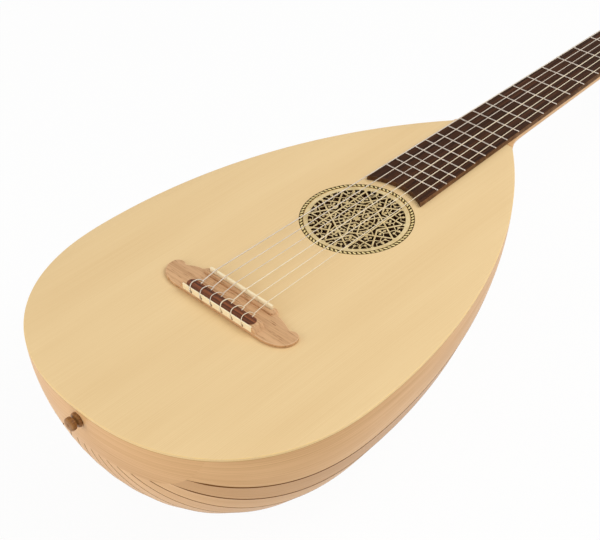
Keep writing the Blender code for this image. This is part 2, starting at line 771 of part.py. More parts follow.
def tie_block_mesh():
    """The block that the strings are tied to, wider at its foot."""
    rings = []
    for half, z in (
        (TIE_HALF_WIDTH + TIE_BLOCK_SPREAD, BRIDGE_BASE_HEIGHT - BRIDGE_BLOCK_SUNK),
        (TIE_HALF_WIDTH, TIE_BLOCK_HEIGHT),
    ):
        rear, front = -TIE_REAR, -TIE_FRONT
        rings.append([(-half, rear, z), (half, rear, z), (half, front, z), (-half, front, z)])
    return loft("tie_block", rings)


def ridge_mesh():
    """The ridge that holds the saddle, with a sloping front."""
    sunk = BRIDGE_BASE_HEIGHT - BRIDGE_BLOCK_SUNK
    back = BRIDGE_FRONT - RIDGE_LENGTH
    shape = [(back, sunk), (BRIDGE_FRONT - RIDGE_FOOT_INSET, sunk)]
    shape += [(BRIDGE_FRONT - RIDGE_TOP_INSET, RIDGE_HEIGHT), (back, RIDGE_HEIGHT)]
    half = SHOULDER_HALF_WIDTH - RIDGE_END_INSET
    return side_prism("ridge", shape, -half, half)


def inlay_place():
    """Y of the middle of the tie block's inlay."""
    return -(TIE_REAR + TIE_FRONT) / 2


def stadium(half_length, half_width, y):
    """A long outline with round ends."""
    points = []
    for side, first in ((1, -90), (-1, 90)):
        for i in range(7):
            angle = math.radians(first + 30 * i)
            x = side * (half_length - half_width) + half_width * math.cos(angle)
            points.append((x, y + half_width * math.sin(angle)))
    return points


def tie_inlay(finish, parent):
    """The dark plate let into the top of the tie block."""
    outline = stadium(INLAY_HALF_LENGTH, INLAY_WIDTH / 2, inlay_place())
    low = TIE_BLOCK_HEIGHT - INLAY_THICKNESS + GAP
    piece("tie_block_inlay", prism("inlay", outline, low, TIE_BLOCK_HEIGHT + GAP), finish, parent)


def saddle(finish, parent):
    """The saddle, with a rounded top."""
    t = SADDLE_THICKNESS / 2
    foot, top, shoulder = SADDLE_SLOT_FLOOR + GAP, SADDLE_HEIGHT, SADDLE_HEIGHT - t
    shape = [(-t, foot), (t, foot), (t, shoulder), (t * 0.7, top - t * 0.3)]
    shape += [(0, top), (-t * 0.7, top - t * 0.3), (-t, shoulder)]
    piece("saddle", side_prism("saddle", shape, -SADDLE_HALF_LENGTH, SADDLE_HALF_LENGTH), finish, parent)


def lathe(name, profile, sides):
    """A profile of radius and height turned about Z, closed at both ends on the axis."""
    turns = [2 * math.pi * i / sides for i in range(sides)]
    return loft(name, [[(r * math.cos(t), r * math.sin(t), z) for t in turns] for r, z in profile])


def strap_button(finish, parent):
    """The turned strap button, with its peg through the clasp into the tail block."""
    length, waist, outer = BUTTON_LENGTH, BUTTON_WAIST_RADIUS, BUTTON_OUTER_RADIUS
    profile = [(BUTTON_PEG_RADIUS, -BUTTON_PEG_LENGTH), (BUTTON_PEG_RADIUS, 0), (BUTTON_RADIUS * 0.92, 0)]
    profile += [(BUTTON_RADIUS, length * 0.08), (BUTTON_RADIUS * 0.97, length * 0.2), (waist, length * 0.36)]
    profile += [(waist, length * 0.5), (outer * 0.9, length * 0.62), (outer, length * 0.75)]
    profile += [(outer * 0.96, length * 0.92), (outer * 0.8, length)]
    place = (0, tail_face() - GAP, -BUTTON_DROP)
    piece("strap_button", lathe("strap_button", profile, 18), finish, parent, place, (math.radians(90), 0, 0))


def head_outline(start_half):
    """The outline of the head in its own frame: a flare behind the nut, straight sides and a round crest."""
    flare = []
    for i in range(1, 7):
        share = i / 6
        ease = (1 - math.cos(math.pi * share)) / 2
        flare.append((start_half + (HEAD_HALF_WIDTH - start_half) * ease, HEAD_FLARE * share))
    crest = []
    for i in range(8):
        angle = math.pi / 2 * i / 8
        x = HEAD_HALF_WIDTH * math.cos(angle) ** 0.6
        crest.append((x, HEAD_STRAIGHT_END + (HEAD_LENGTH - HEAD_STRAIGHT_END) * math.sin(angle) ** 0.9))
    right = flare + crest
    return right + [(0, HEAD_LENGTH)] + [(-x, y) for x, y in reversed(right)]


def head_slot(side):
    """A string slot through the head, with round ends."""
    radius = (SLOT_OUTER - SLOT_INNER) / 2
    x = side * (SLOT_INNER + SLOT_OUTER) / 2
    points = []
    for end, first in ((SLOT_END - radius, 0), (SLOT_START + radius, 180)):
        for i in range(9):
            angle = math.radians(first + 22.5 * i)
            points.append((x + radius * math.cos(angle), end + radius * math.sin(angle)))
    return prism("slot", points, -HEAD_THICKNESS - CLEAR, CLEAR)


def across(mesh, side, y, z):
    """A shape made along Z laid along X, pointing out on the given side."""
    return moved(mesh, (0, y, z), Matrix.Rotation(math.radians(90) * side, 4, "Y"))


def head(finish, parent):
    """The slotted head: two slots, and bores for the rollers in the cheeks and the middle bar."""
    half = board_half(SCALE_LENGTH)
    outline = head_outline(half)
    lean = math.tan(HEAD_TILT)
    rings = []
    for z in (-HEAD_THICKNESS, 0):
        start = GAP / math.cos(HEAD_TILT) - z * lean
        rings.append([(half, start, z)] + [(x, max(y, start), z) for x, y in outline] + [(-half, start, z)])
    made = piece("head", loft("head", rings), finish, parent)
    boolean(made, joined("slots", [head_slot(1), head_slot(-1)]), "DIFFERENCE")
    bores = []
    for y in ROLLER_PLACES:
        for side in (1, -1):
            radius = ROLLER_RADIUS + RUNNING_GAP
            bore = cylinder("bore", radius, ROLLER_SEAT - GAP, HEAD_HALF_WIDTH + CLEAR, ROLLER_SIDES, True)
            bores.append(across(bore, side, y, AXIS_Z))
    boolean(made, joined("bores", bores), "DIFFERENCE")


def tuner_plate(name, side, finish, parent):
    """A plate on the side of the head with a pair of lugs for each worm."""
    low, high = AXIS_Z - PLATE_HEIGHT / 2, AXIS_Z + PLATE_HEIGHT / 2
    start = ROLLER_PLACES[0] - PLATE_END_MARGIN
    end = ROLLER_PLACES[-1] + WORM_AHEAD + PLATE_END_MARGIN
    shape = [(start, low), (end, low), (end, high), (start, high)]
    inner, outer = sorted((side * PLATE_INNER, side * PLATE_OUTER))
    made = piece(name, side_prism(name, shape, inner, outer), finish, parent)
    lugs, holes = [], []
    reach = WORM_X + LUG_HALF_WIDTH
    for y in ROLLER_PLACES:
        middle = y + WORM_AHEAD
        for foot in (low, high - LUG_THICKNESS):
            near, far, top = middle - LUG_HALF_WIDTH, middle + LUG_HALF_WIDTH, foot + LUG_THICKNESS
            box = [(near, foot), (far, foot), (far, top), (near, top)]
            first, last = sorted((side * (PLATE_INNER + PLATE_THICKNESS / 2), side * reach))
            lugs.append(side_prism("lug", box, first, last))
        shaft = cylinder("shaft_hole", SHAFT_RADIUS + RUNNING_GAP, low - CLEAR, high + CLEAR, 12, True)
        holes.append(moved(shaft, (side * WORM_X, middle, 0)))
        radius = AXLE_RADIUS + RUNNING_GAP
        axle = cylinder("axle_hole", radius, PLATE_INNER - CLEAR, PLATE_OUTER + CLEAR / 4, 12, True)
        holes.append(across(axle, side, y, AXIS_Z))
    boolean(made, joined("lugs", lugs), "UNION")
    boolean(made, joined("holes", holes), "DIFFERENCE")


def gear_outline():
    """The toothed outline of a gear with a tooth space on its +Y side."""
    outer = TOOTH_PITCH_RADIUS + TOOTH_ADDENDUM
    root = TOOTH_PITCH_RADIUS - TOOTH_DEDENDUM
    pitch = 2 * math.pi / GEAR_TEETH
    foot, tip = TOOTH_SHARE * 1.35 / 2, TOOTH_SHARE * 0.62 / 2
    steps = ((-foot, root), (-tip, outer), (tip, outer), (foot, root))
    points = []
    for tooth in range(GEAR_TEETH):
        middle = math.pi / 2 + pitch * (tooth + 0.5)
        for share, radius in steps:
            angle = middle + pitch * share
            points.append((radius * math.cos(angle), radius * math.sin(angle)))
    return points


def roller_mesh():
    """A roller with its axle, gear and gear screw, along Z with the inner end at the bottom."""
    profile = [(ROLLER_RADIUS, ROLLER_SEAT), (ROLLER_RADIUS, HEAD_HALF_WIDTH - GAP)]
    profile += [(AXLE_RADIUS, HEAD_HALF_WIDTH - GAP), (AXLE_RADIUS, WORM_X)]
    draft = piece("roller_draft", lathe("roller", profile, ROLLER_SIDES), None, None)
    twist = GEAR_WIDTH / 2 * WORM_LEAD / (2 * math.pi * WORM_PITCH_RADIUS) / TOOTH_PITCH_RADIUS
    rings = []
    for end in (-1, 1):
        c, s = math.cos(end * twist), math.sin(end * twist)
        z = WORM_X + end * GEAR_WIDTH / 2
        rings.append([(x * c - y * s, x * s + y * c, z) for x, y in gear_outline()])
    boolean(draft, loft("gear", rings), "UNION")
    top = WORM_X + GEAR_WIDTH / 2
    screw = [(SCREW_HEAD_RADIUS, top - CLEAR / 2), (SCREW_HEAD_RADIUS, top + SCREW_HEAD_HEIGHT * 0.6)]
    screw += [(SCREW_HEAD_RADIUS * 0.6, top + SCREW_HEAD_HEIGHT)]
    boolean(draft, lathe("screw", screw, ROLLER_SIDES), "UNION")
    return settled(draft)


def worm_thread():
    """A single right-handed thread, its foot sunk into the shaft. A crest faces -Y at Z = 0."""
    per_turn = 9
    root = WORM_PITCH_RADIUS - TOOTH_DEDENDUM
    outer = WORM_PITCH_RADIUS + TOOTH_ADDENDUM
    half_root, half_crest = WORM_LEAD * TOOTH_SHARE * 0.68, WORM_LEAD * TOOTH_SHARE * 0.30
    turns = (WORM_THREAD_LENGTH - 2 * half_root) / WORM_LEAD
    count = int(turns * per_turn / 2)
    rings = []
    for i in range(-count, count + 1):
        angle = -math.pi / 2 + 2 * math.pi * i / per_turn
        z = WORM_LEAD * i / per_turn
        c, s = math.cos(angle), math.sin(angle)
        inside = root * 0.8
        section = ((inside, -half_root), (outer, -half_crest), (outer, half_crest), (inside, half_root))
        rings.append([(r * c, r * s, z + dz) for r, dz in section])
    return loft("thread", rings)


def worm_mesh():
    """The worm, its shaft and the knob below, along Z with the thread's middle at the origin."""
    root = WORM_PITCH_RADIUS - TOOTH_DEDENDUM
    inner_half_height = PLATE_HEIGHT / 2 - LUG_THICKNESS - GAP
    bottom = -PLATE_HEIGHT / 2 - KNOB_CLEARANCE
    profile = [(SHAFT_RADIUS, bottom - KNOB_LENGTH / 2), (SHAFT_RADIUS, -inner_half_height)]
    profile += [(root, -inner_half_height), (root, inner_half_height)]
    profile += [(SHAFT_RADIUS, inner_half_height), (SHAFT_RADIUS, PLATE_HEIGHT / 2)]
    draft = piece("worm_draft", lathe("worm", profile, WORM_SIDES), None, None)
    boolean(draft, worm_thread(), "UNION")
    boolean(draft, knob_mesh(bottom), "UNION")
    return settled(draft)


def knob_mesh(top):
    """The flat oval knob: oval rings that swell and close again."""
    rings = []
    for drop, swell in ((0.0, 0.32), (0.1, 0.7), (0.5, 1.0), (0.9, 0.7), (1.0, 0.36)):
        thick, wide = KNOB_HALF_THICKNESS * (0.3 + 0.7 * swell), KNOB_HALF_WIDTH * swell
        turns = [2 * math.pi * i / 12 for i in range(12)]
        rings.append([(thick * math.cos(t), wide * math.sin(t), top - KNOB_LENGTH * drop) for t in turns])
    return loft("knob", rings)


def tuners(steel, white, parent):
    """The plates, rollers and worms. Tuners 1 to 3 are on the treble side, and 4 to 6 on the bass side."""
    tuner_plate("treble_tuner_plate", 1, steel, parent)
    tuner_plate("bass_tuner_plate", -1, steel, parent)
    roller, worm = roller_mesh(), worm_mesh()
    for number in range(1, 7):
        side, y = tuner_place(number)
        turn = (0, math.radians(90) * side, 0)
        piece(f"roller_{number}", roller, white, parent, (0, y, AXIS_Z), turn)
        piece(f"worm_{number}", worm, steel, parent, (side * WORM_X, y + WORM_AHEAD, AXIS_Z))


def tuner_place(number):
    """Side and Y, in the head's frame, of the tuner of a string."""
    side = 1 if number <= 3 else -1
    from_nut = number - 1 if number <= 3 else 6 - number
    return side, ROLLER_PLACES[from_nut]


def head_frame_matrix():
    """The head's frame: at the back of the nut, on the neck's top face, tilted back."""
    return Matrix.Translation((0, NUT_BACK, 0)) @ Matrix.Rotation(-HEAD_TILT, 4, "X")


def winding_reach(radius):
    """Radius of the middle line of a string wound on a roller."""
    sagitta = 1 - math.cos(math.pi / POINTS_PER_TURN)
    return (ROLLER_RADIUS + GAP + radius) * (1 + sagitta)


def winding_start(number):
    """X and roller Y of a string's first turn, and the angle round the roller where the string meets it."""
    side, y = tuner_place(number)
    x = side * WINDING_PLACES[ROLLER_PLACES.index(y)]
    _, _, radius = string_line(number)
    bend = head_frame_matrix().inverted() @ Vector((0, *nut_break()))
    away = Vector((bend.y - y, bend.z - AXIS_Z))
    towards = math.atan2(away.y, away.x)
    return x, y, towards - math.acos(winding_reach(radius) / away.length)


def roller_point(y, reach, angle, x):
    """A point round a roller in the head's frame, the angle measured from +Y up."""
    return Vector((x, y + reach * math.cos(angle), AXIS_Z + reach * math.sin(angle)))


def tube(name, points, radius, finish, parent):
    """A round tube along points, with capped ends."""
    curve = bpy.data.curves.new(name, "CURVE")
    curve.dimensions = "3D"
    curve.bevel_depth = radius
    curve.bevel_resolution = 1
    curve.use_fill_caps = True
    spline = curve.splines.new("POLY")
    spline.points.add(len(points) - 1)
    for point, place in zip(spline.points, points):
        point.co = (*place, 1)
    return piece(name, curve, finish, parent)


def tie_loop(number):
    """The string's end: along the top of the tie block, round its rear edge and through the hole."""
    x, _, radius = string_line(number)
    side = x + TIE_END_SIDE
    rear, front = -TIE_REAR, -TIE_FRONT
    bulge = TIE_LOOP_BULGE
    over = TIE_BLOCK_HEIGHT + 2 * GAP + radius
    behind = rear - bulge - radius
    along_top = [(side, front + bulge, over - 2 * bulge), (side, front, over), (side, front - bulge, over)]
    along_top += [(x + bulge, rear + 3 * bulge, over + bulge), (x, rear + bulge / 3, over)]
    round_edge = [(x, behind, over - bulge), (x, behind - bulge / 3, TIE_HOLE_HEIGHT + bulge)]
    through = [(x, y, TIE_HOLE_HEIGHT) for y in (behind + bulge / 3, rear, front)]
    return along_top + round_edge + through


def strings(nylon, wound, parent):
    """The strings, from their loops at the bridge over saddle and nut to the rollers."""
    for number in range(1, 7):
        bridge_x, nut_x, radius = string_line(number)
        points = tie_loop(number) + [(bridge_x, 0, saddle_break()), (nut_x, *nut_break())]
        x, y, touch = winding_start(number)
        last = head_frame_matrix() @ roller_point(y, winding_reach(radius), touch, x)
        bend = Vector(points[-1])
        points.append(last + (bend - last).normalized() * (GAP + 2 * radius))
        tube(f"string_{number}", points, radius, nylon if number <= 3 else wound, parent)


def windings(nylon, wound, parent):
    """The turns of each string round its roller, as one helix that starts in line with the string."""
    for number in range(1, 7):
        _, _, radius = string_line(number)
        x, y, touch = winding_start(number)
        reach = winding_reach(radius)
        pitch = math.copysign(2 * radius + WINDING_SPACE, x)
        bend = head_frame_matrix().inverted() @ Vector((string_line(number)[1], *nut_break()))
        first = roller_point(y, reach, touch, x)
        points = [first + (bend - first).normalized() * 2 * radius]
        count = int(WINDING_TURNS * POINTS_PER_TURN)
        for i in range(count + 1):
            share = i / POINTS_PER_TURN
            points.append(roller_point(y, reach, touch - 2 * math.pi * share, x + pitch * share))
        report_gap(f"winding_{number}", points, radius)
        origin = Vector((0, y, AXIS_Z))
        finish = nylon if number <= 3 else wound
        made = tube(f"winding_{number}", [p - origin for p in points], radius, finish, parent)
        made.location = origin


def report_gap(name, points, radius):
    """Prints the least gap between a winding's turns."""
    places = np.array([tuple(p) for p in points])
    apart = np.linalg.norm(places[:, None] - places[None], axis=2)
    index = np.arange(len(places))
    far = np.abs(index[:, None] - index[None]) > POINTS_PER_TURN // 2
    print(f"{name}: least gap between turns {1000 * (apart[far].min() - 2 * radius):.2f} mm")


def main():
    nothing_left()
    spruce = material("spruce", (0.79, 0.59, 0.33), 0.45)
    maple = material("maple", (0.64, 0.42, 0.25), 0.35)
    block_wood = material("block_wood", (0.62, 0.47, 0.30), 0.7)
    rosewood = material("rosewood", (0.070, 0.030, 0.013), 0.4)
    bridge_wood = material("bridge_wood", (0.55, 0.35, 0.20), 0.5)
    rose_wood = material("rose_wood", (0.60, 0.48, 0.26), 0.6)
    bone = material("bone", (0.86, 0.78, 0.60), 0.35)
    button_wood = material("button_wood", (0.24, 0.09, 0.03), 0.35)
    steel = material("nickel", (0.62, 0.58, 0.50), 0.25, 1.0)
    white = material("white_roller", (0.85, 0.82, 0.74), 0.35)
    nylon = material("nylon", (0.82, 0.76, 0.64), 0.3)
    wound = material("silver_wound", (0.66, 0.62, 0.56), 0.35, 0.8)

    lowest = bowl_point(BODY_HALF_WIDTH, 0, seam_angles()[RIB_COUNT // 2]).z
    crest = head_frame_matrix() @ Vector((0, HEAD_LENGTH, 0))
    tail = tail_face() - GAP - BUTTON_LENGTH
    model = empty("instrument", None, (0, -(crest.y + tail) / 2, -lowest))
    head_frame = empty("head_frame", model, (0, NUT_BACK, 0), (-HEAD_TILT, 0, 0))

    soundboard(spruce, model)
    rose(rose_wood, model)
    ribs(maple, model)
    end_clasp(maple, model)
    tail_block(block_wood, model)
    neck_block(block_wood, model)
    bars(spruce, model)
    neck(maple, model)
    fingerboard(rosewood, model)
    nut(bone, model)
    bridge(bridge_wood, model)
    saddle(bone, model)
    tie_inlay(rosewood, model)
    strap_button(button_wood, model)
    head(maple, head_frame)
    tuners(steel, white, head_frame)
    strings(nylon, wound, model)
    windings(nylon, wound, head_frame)


main()
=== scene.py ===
# %% [markdown]
# # A lute guitar, from its plain solids to its finish
#
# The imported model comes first. It has every piece at its real size, in flat facets. We keep its places and
# sizes, and lay smooth pieces with real wood grain over it. Everything is in metres, with +Z up and +Y from
# the tail to the head.

import bmesh
import bpy
import numpy as np
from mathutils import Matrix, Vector


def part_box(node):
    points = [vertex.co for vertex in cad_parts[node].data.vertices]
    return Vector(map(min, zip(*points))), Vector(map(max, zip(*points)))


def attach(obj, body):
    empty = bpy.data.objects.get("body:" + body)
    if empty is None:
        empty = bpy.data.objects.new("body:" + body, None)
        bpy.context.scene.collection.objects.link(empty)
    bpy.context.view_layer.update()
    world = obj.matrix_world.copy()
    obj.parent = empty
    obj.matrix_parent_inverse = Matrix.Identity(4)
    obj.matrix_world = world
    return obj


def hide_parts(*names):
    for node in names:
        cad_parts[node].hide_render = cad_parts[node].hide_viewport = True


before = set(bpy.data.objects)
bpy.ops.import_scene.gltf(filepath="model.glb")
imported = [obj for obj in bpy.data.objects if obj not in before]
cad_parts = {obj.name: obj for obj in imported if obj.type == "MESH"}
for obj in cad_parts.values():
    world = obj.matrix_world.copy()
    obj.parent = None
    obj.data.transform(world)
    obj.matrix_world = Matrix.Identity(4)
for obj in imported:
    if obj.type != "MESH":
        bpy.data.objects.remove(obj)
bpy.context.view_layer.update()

# %% [markdown]
# ## The camera and the light
# The frets of a guitar stand at known places, so their spots in the picture tell where the camera was. A
# lens of 72 mm keeps the neck from shrinking too fast. The light is a pale room: a large soft lamp above, a
# weaker one in front and a white world. The world looks pure white only to the camera and in reflections,
# so the background is white and the wood isn't washed out.


# %% Camera
def added(name, data):
    """A new object in the scene."""
    made = bpy.data.objects.new(name, data)
    bpy.context.scene.collection.objects.link(made)
    return made


camera = added("camera", bpy.data.cameras.new("camera"))
camera.data.lens = 71.98
camera.data.sensor_width = 36.0
camera.location = (0.5590, -0.81718, 0.80642)
camera.rotation_euler = np.radians((50.2847, 1.1835, 43.7032))
bpy.context.scene.camera = camera
bpy.context.scene.view_settings.view_transform = "Standard"
print("camera at", tuple(camera.location))


# %% A short way to place shader nodes
def node(tree, kind, links=None, **settings):
    """One node in a tree. links gives its inputs by name or number: a socket is joined on, a value is set."""
    made = tree.nodes.new(kind)
    for name, value in settings.items():
        setattr(made, name, value)
    for name, value in (links or {}).items():
        if isinstance(value, bpy.types.NodeSocket):
            tree.links.new(value, made.inputs[name])
        else:
            made.inputs[name].default_value = value
    return made


def math_node(tree, operation, *values):
    """The result of a Math node."""
    return node(tree, "ShaderNodeMath", dict(enumerate(values)), operation=operation).outputs[0]


def material(name, **fixed):
    """A material, its tree and its Principled shader. fixed gives sockets that stay the same all over."""
    made = bpy.data.materials.new(name)
    made.use_nodes = True
    shader = made.node_tree.nodes["Principled BSDF"]
    for label, value in fixed.items():
        shader.inputs[label.replace("_", " ")].default_value = value
    return made, made.node_tree, shader


def seen_directly(tree):
    """1 for a ray from the camera, a mirror or glass, and 0 for the rays that light the scene."""
    path = node(tree, "ShaderNodeLightPath")
    seen = math_node(tree, "MAXIMUM", path.outputs["Is Camera Ray"], path.outputs["Is Glossy Ray"])
    return math_node(tree, "MAXIMUM", seen, path.outputs["Is Transmission Ray"])


# %% World
world = bpy.data.worlds.new("pale room")
bpy.context.scene.world = world
world.use_nodes = True
tree = world.node_tree
tree.nodes.clear()
room = node(tree, "ShaderNodeBackground", {"Color": (1.0, 0.985, 0.96, 1.0), "Strength": 0.48})
white = node(tree, "ShaderNodeBackground", {"Color": (1.0, 1.0, 1.0, 1.0), "Strength": 1.0})
both = node(tree, "ShaderNodeMixShader", {0: seen_directly(tree), 1: room.outputs[0], 2: white.outputs[0]})
node(tree, "ShaderNodeOutputWorld", {"Surface": both.outputs[0]})


# %% Lamps
def lamp(name, place, aim, size, power):
    """A square soft lamp at a place, turned towards a point."""
    made = added(name, bpy.data.lights.new(name, "AREA"))
    made.data.size = size
    made.data.energy = power
    made.location = place
    made.rotation_euler = (Vector(aim) - Vector(place)).to_track_quat("-Z", "Y").to_euler()


lamp("lamp_above", (1.0, 0.5, 1.7), (0.0, -0.2, 0.1), 1.4, 22.0)
lamp("lamp_front", (-0.5, -1.9, 0.7), (0.0, -0.35, 0.1), 1.2, 12.0)

# %% [markdown]
# ## The floor
# The guitar lies on a pale floor. A plane is enough. It looks nearly white to the camera, and a little
# darker where the guitar keeps the light from it, so we mix a white glow over a plain pale shader.

# %% Floor
floor_size, floor_top, glow_share = 3.0, -0.0004, 0.95
floor_mesh = bpy.data.meshes.new("floor")
corners = [(x * floor_size, y * floor_size, floor_top) for x, y in ((-1, -1), (1, -1), (1, 1), (-1, 1))]
floor_mesh.from_pydata(corners, [], [(0, 1, 2, 3)])
floor = added("floor", floor_mesh)
floor_material, tree, plain = material("pale_floor", Base_Color=(0.86, 0.85, 0.83, 1.0), Roughness=0.8)
glow = node(tree, "ShaderNodeEmission", {"Color": (1.0, 1.0, 1.0, 1.0), "Strength": 1.0})
share = math_node(tree, "MULTIPLY", seen_directly(tree), glow_share)
both = node(tree, "ShaderNodeMixShader", {0: share, 1: plain.outputs[0], 2: glow.outputs[0]})
tree.links.new(both.outputs[0], tree.nodes["Material Output"].inputs["Surface"])
floor_mesh.materials.append(floor_material)

# %% [markdown]
# ## Surfaces from arrays
# Each new piece is a surface worked out with numpy: a grid of points that is a function of two parameters.
# We could model by hand with extrusions and bevels, but an instrument's curves are formulas, and a formula
# is smooth at any number of faces. A grid becomes a shell of four-sided faces. It can close on itself
# across the rows, as a tube does, or its first and last row are filled.


# %% Points, angles and lengths
def points_of(*parts):
    """Points from their numbers along each axis. Single numbers and rows are spread over the whole grid."""
    return np.stack(np.broadcast_arrays(*parts), axis=-1)


def turns(sides):
    """The angles of a full circle in even steps."""
    return np.linspace(0, 2 * np.pi, sides, endpoint=False)


def unit(vectors):
    """Vectors with their length made 1."""
    return vectors / np.linalg.norm(vectors, axis=-1, keepdims=True)


def run_along(path):
    """How far along a path each of its points lies."""
    return np.cumsum(np.linalg.norm(np.diff(path, axis=0, prepend=path[:1]), axis=-1), axis=0)


def both_sides(right, shared=0):
    """An outline from its right half. The halves can share the points where they meet."""
    return np.concatenate([right, right[::-1][shared:] * (-1, 1)])


# %% A grid of points as a closed shell
def quads_of(index):
    """Four-sided faces between neighbours in a grid of point numbers."""
    corners = (index[:-1, :-1], index[:-1, 1:], index[1:, 1:], index[1:, :-1])
    return np.stack(corners, axis=-1).reshape(-1, 4).tolist()


def numbered(grid):
    """The grid's points in one list, and their numbers in the grid's own shape."""
    grid = np.asarray(grid, float)
    rows, columns = grid.shape[:2]
    return grid.reshape(rows * columns, -1), np.arange(rows * columns).reshape(rows, columns)


def shell_of(grid, close_rows=False):
    """A skin round a grid of points whose rows are closed loops. The rows close on themselves too, or the
    first and the last are filled."""
    points, index = numbered(grid)
    caps = [] if close_rows else [index[0].tolist(), index[-1].tolist()]
    index = np.concatenate([index, index[:, :1]], axis=1)
    if close_rows:
        index = np.concatenate([index, index[:1]], axis=0)
    return points, quads_of(index) + caps


def slab_of(outer, inner):
    """A wall between two grids of points, closed along its four sides."""
    points, index = numbered(outer)
    under, _ = numbered(inner)
    border = np.concatenate([index[0, :-1], index[:-1, -1], index[-1, :0:-1], index[:0:-1, 0]])
    count = len(points)
    walls = [[a, b, b + count, a + count] for a, b in zip(border.tolist(), np.roll(border, -1).tolist())]
    return np.concatenate([points, under]), quads_of(index) + quads_of(index + count) + walls


def together(shells):
    """Several shells as one list of points and faces. A point with three numbers gets its place again."""
    points, faces, count = [], [], 0
    for own_points, own_faces in shells:
        points.append(np.concatenate([own_points[:, :3], own_points[:, -3:]], axis=1))
        faces += [[i + count for i in face] for face in own_faces]
        count += len(own_points)
    return np.concatenate(points), faces


# %% How sharply a surface turns at each point
def read(items, label, shape=-1, kind=float):
    """One property of all faces, edges, corners or points of a mesh."""
    values = np.empty(len(items) * abs(np.prod(shape)), kind)
    items.foreach_get(label, values)
    return values.reshape(shape)


def edge_shares(mesh):
    """From 0 where the faces round a point lie within 18 degrees of each other to 1 at 30 degrees or more."""
    sizes = read(mesh.polygons, "loop_total", kind=np.int32)
    edges = read(mesh.loops, "edge_index", kind=np.int32)
    face = np.repeat(np.arange(len(sizes)), sizes)[np.argsort(edges, kind="stable")]
    first, second = read(mesh.polygons, "normal", (-1, 3))[face.reshape(-1, 2)].transpose(1, 0, 2)
    turn = np.degrees(np.arccos(np.clip((first * second).sum(axis=1), -1, 1)))
    share = np.zeros(len(mesh.vertices))
    ends = read(mesh.edges, "vertices", (-1, 2), np.int32)
    np.maximum.at(share, ends, np.clip((turn - 18) / 12, 0, 1)[:, None])
    return share


# %% The part's frame
tail_end = 0.1729
low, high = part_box("soundboard")
lift = np.array((0.0, low[1] + tail_end, high[2]))
print("the saddle line and the soundboard's face lie at", lift)


# %% A mesh from shells, and how it is cut and rounded
def point_values(mesh, name, kind, values):
    """Gives each point of the mesh a value under a name that materials can read."""
    own = mesh.attributes.get(name) or mesh.attributes.new(name, kind, "POINT")
    label = "vector" if kind == "FLOAT_VECTOR" else "value"
    own.data.foreach_set(label, np.ravel(values).astype(np.float32))


def mesh_of(name, shells):
    """A mesh from shells in the part's frame, its doubles merged and its faces turned outwards."""
    points, faces = together(shells)
    mesh = bpy.data.meshes.new(name)
    mesh.from_pydata((points[:, :3] + lift).tolist(), [], faces)
    point_values(mesh, "grain", "FLOAT_VECTOR", points[:, 3:])
    work = bmesh.new()
    work.from_mesh(mesh)
    bmesh.ops.remove_doubles(work, verts=work.verts, dist=1e-7)
    bmesh.ops.recalc_face_normals(work, faces=work.faces)
    work.to_mesh(mesh)
    work.free()
    return mesh


def carved(mesh, cutters):
    """The mesh with the space of the cutters' shells taken away."""
    body, tool = added("body", mesh), added("tool", mesh_of("tool", cutters))
    cut = body.modifiers.new("cut", "BOOLEAN")
    cut.operation, cut.solver, cut.object = "DIFFERENCE", "EXACT", tool
    made = bpy.data.meshes.new_from_object(body.evaluated_get(bpy.context.evaluated_depsgraph_get()))
    for each in (body, tool):
        bpy.data.objects.remove(each)
    return made


def bevelled(mesh, width):
    """Rounds the mesh's edges that turn by more than 40 degrees."""
    work = bmesh.new()
    work.from_mesh(mesh)
    bmesh.ops.dissolve_limit(work, angle_limit=0.01, verts=work.verts, edges=work.edges)
    sharp = [e for e in work.edges if e.calc_face_angle(0) > np.radians(40)]
    bmesh.ops.bevel(work, geom=sharp, offset=width, segments=3, profile=0.5, affect="EDGES",
                    clamp_overlap=True)
    work.to_mesh(mesh)
    work.free()


# %% A shell as a finished piece
crease = np.radians(35)


def piece(name, shells, finish, slot, body="instrument", bevel=0.0, openings=(), holes=(), along="Y"):
    """A piece of the guitar, from shells in the part's frame: Y from the saddle, Z from the soundboard's
    face. A point has three numbers, its place, or six: the last three are its place in the straight piece of
    wood that it was cut from. Openings are cut before the edges are rounded and holes after it. Where
    something is cut or rounded, the grain runs along Y or X of the guitar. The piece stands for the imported
    node of its name, if there is one."""
    mesh = mesh_of(name, shells)
    if openings:
        mesh = carved(mesh, openings)
    if bevel:
        bevelled(mesh, bevel)
    if holes:
        mesh = carved(mesh, holes)
    mesh.name = name
    if openings or bevel or holes:
        place = read(mesh.vertices, "co", (-1, 3)) - lift
        point_values(mesh, "grain", "FLOAT_VECTOR", place[:, [1, 0, 2]] if along == "X" else place)
    point_values(mesh, "edge", "FLOAT", edge_shares(mesh))
    mesh.shade_smooth()
    mesh.set_sharp_from_angle(angle=crease)
    mesh.materials.clear()
    mesh.materials.append(finish)
    made = added(name, mesh)
    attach(made, body)
    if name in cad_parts:
        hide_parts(name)
    print(f"{name}: {len(mesh.polygons)} faces")
    return made


# %% [markdown]
# ## Wood as a shader group
# Wood is the same stuff all over a guitar, cut from different trees. Its look is made of four things: the
# year lines, the fine streaks of the fibres, slow clouds of lighter and darker wood, and open pores. All
# run along the piece. We could paint a picture of it, but noise that is stretched along the grain has no
# seams and no size limit. The group puts out the four masks, and each material mixes its own colours from
# them.


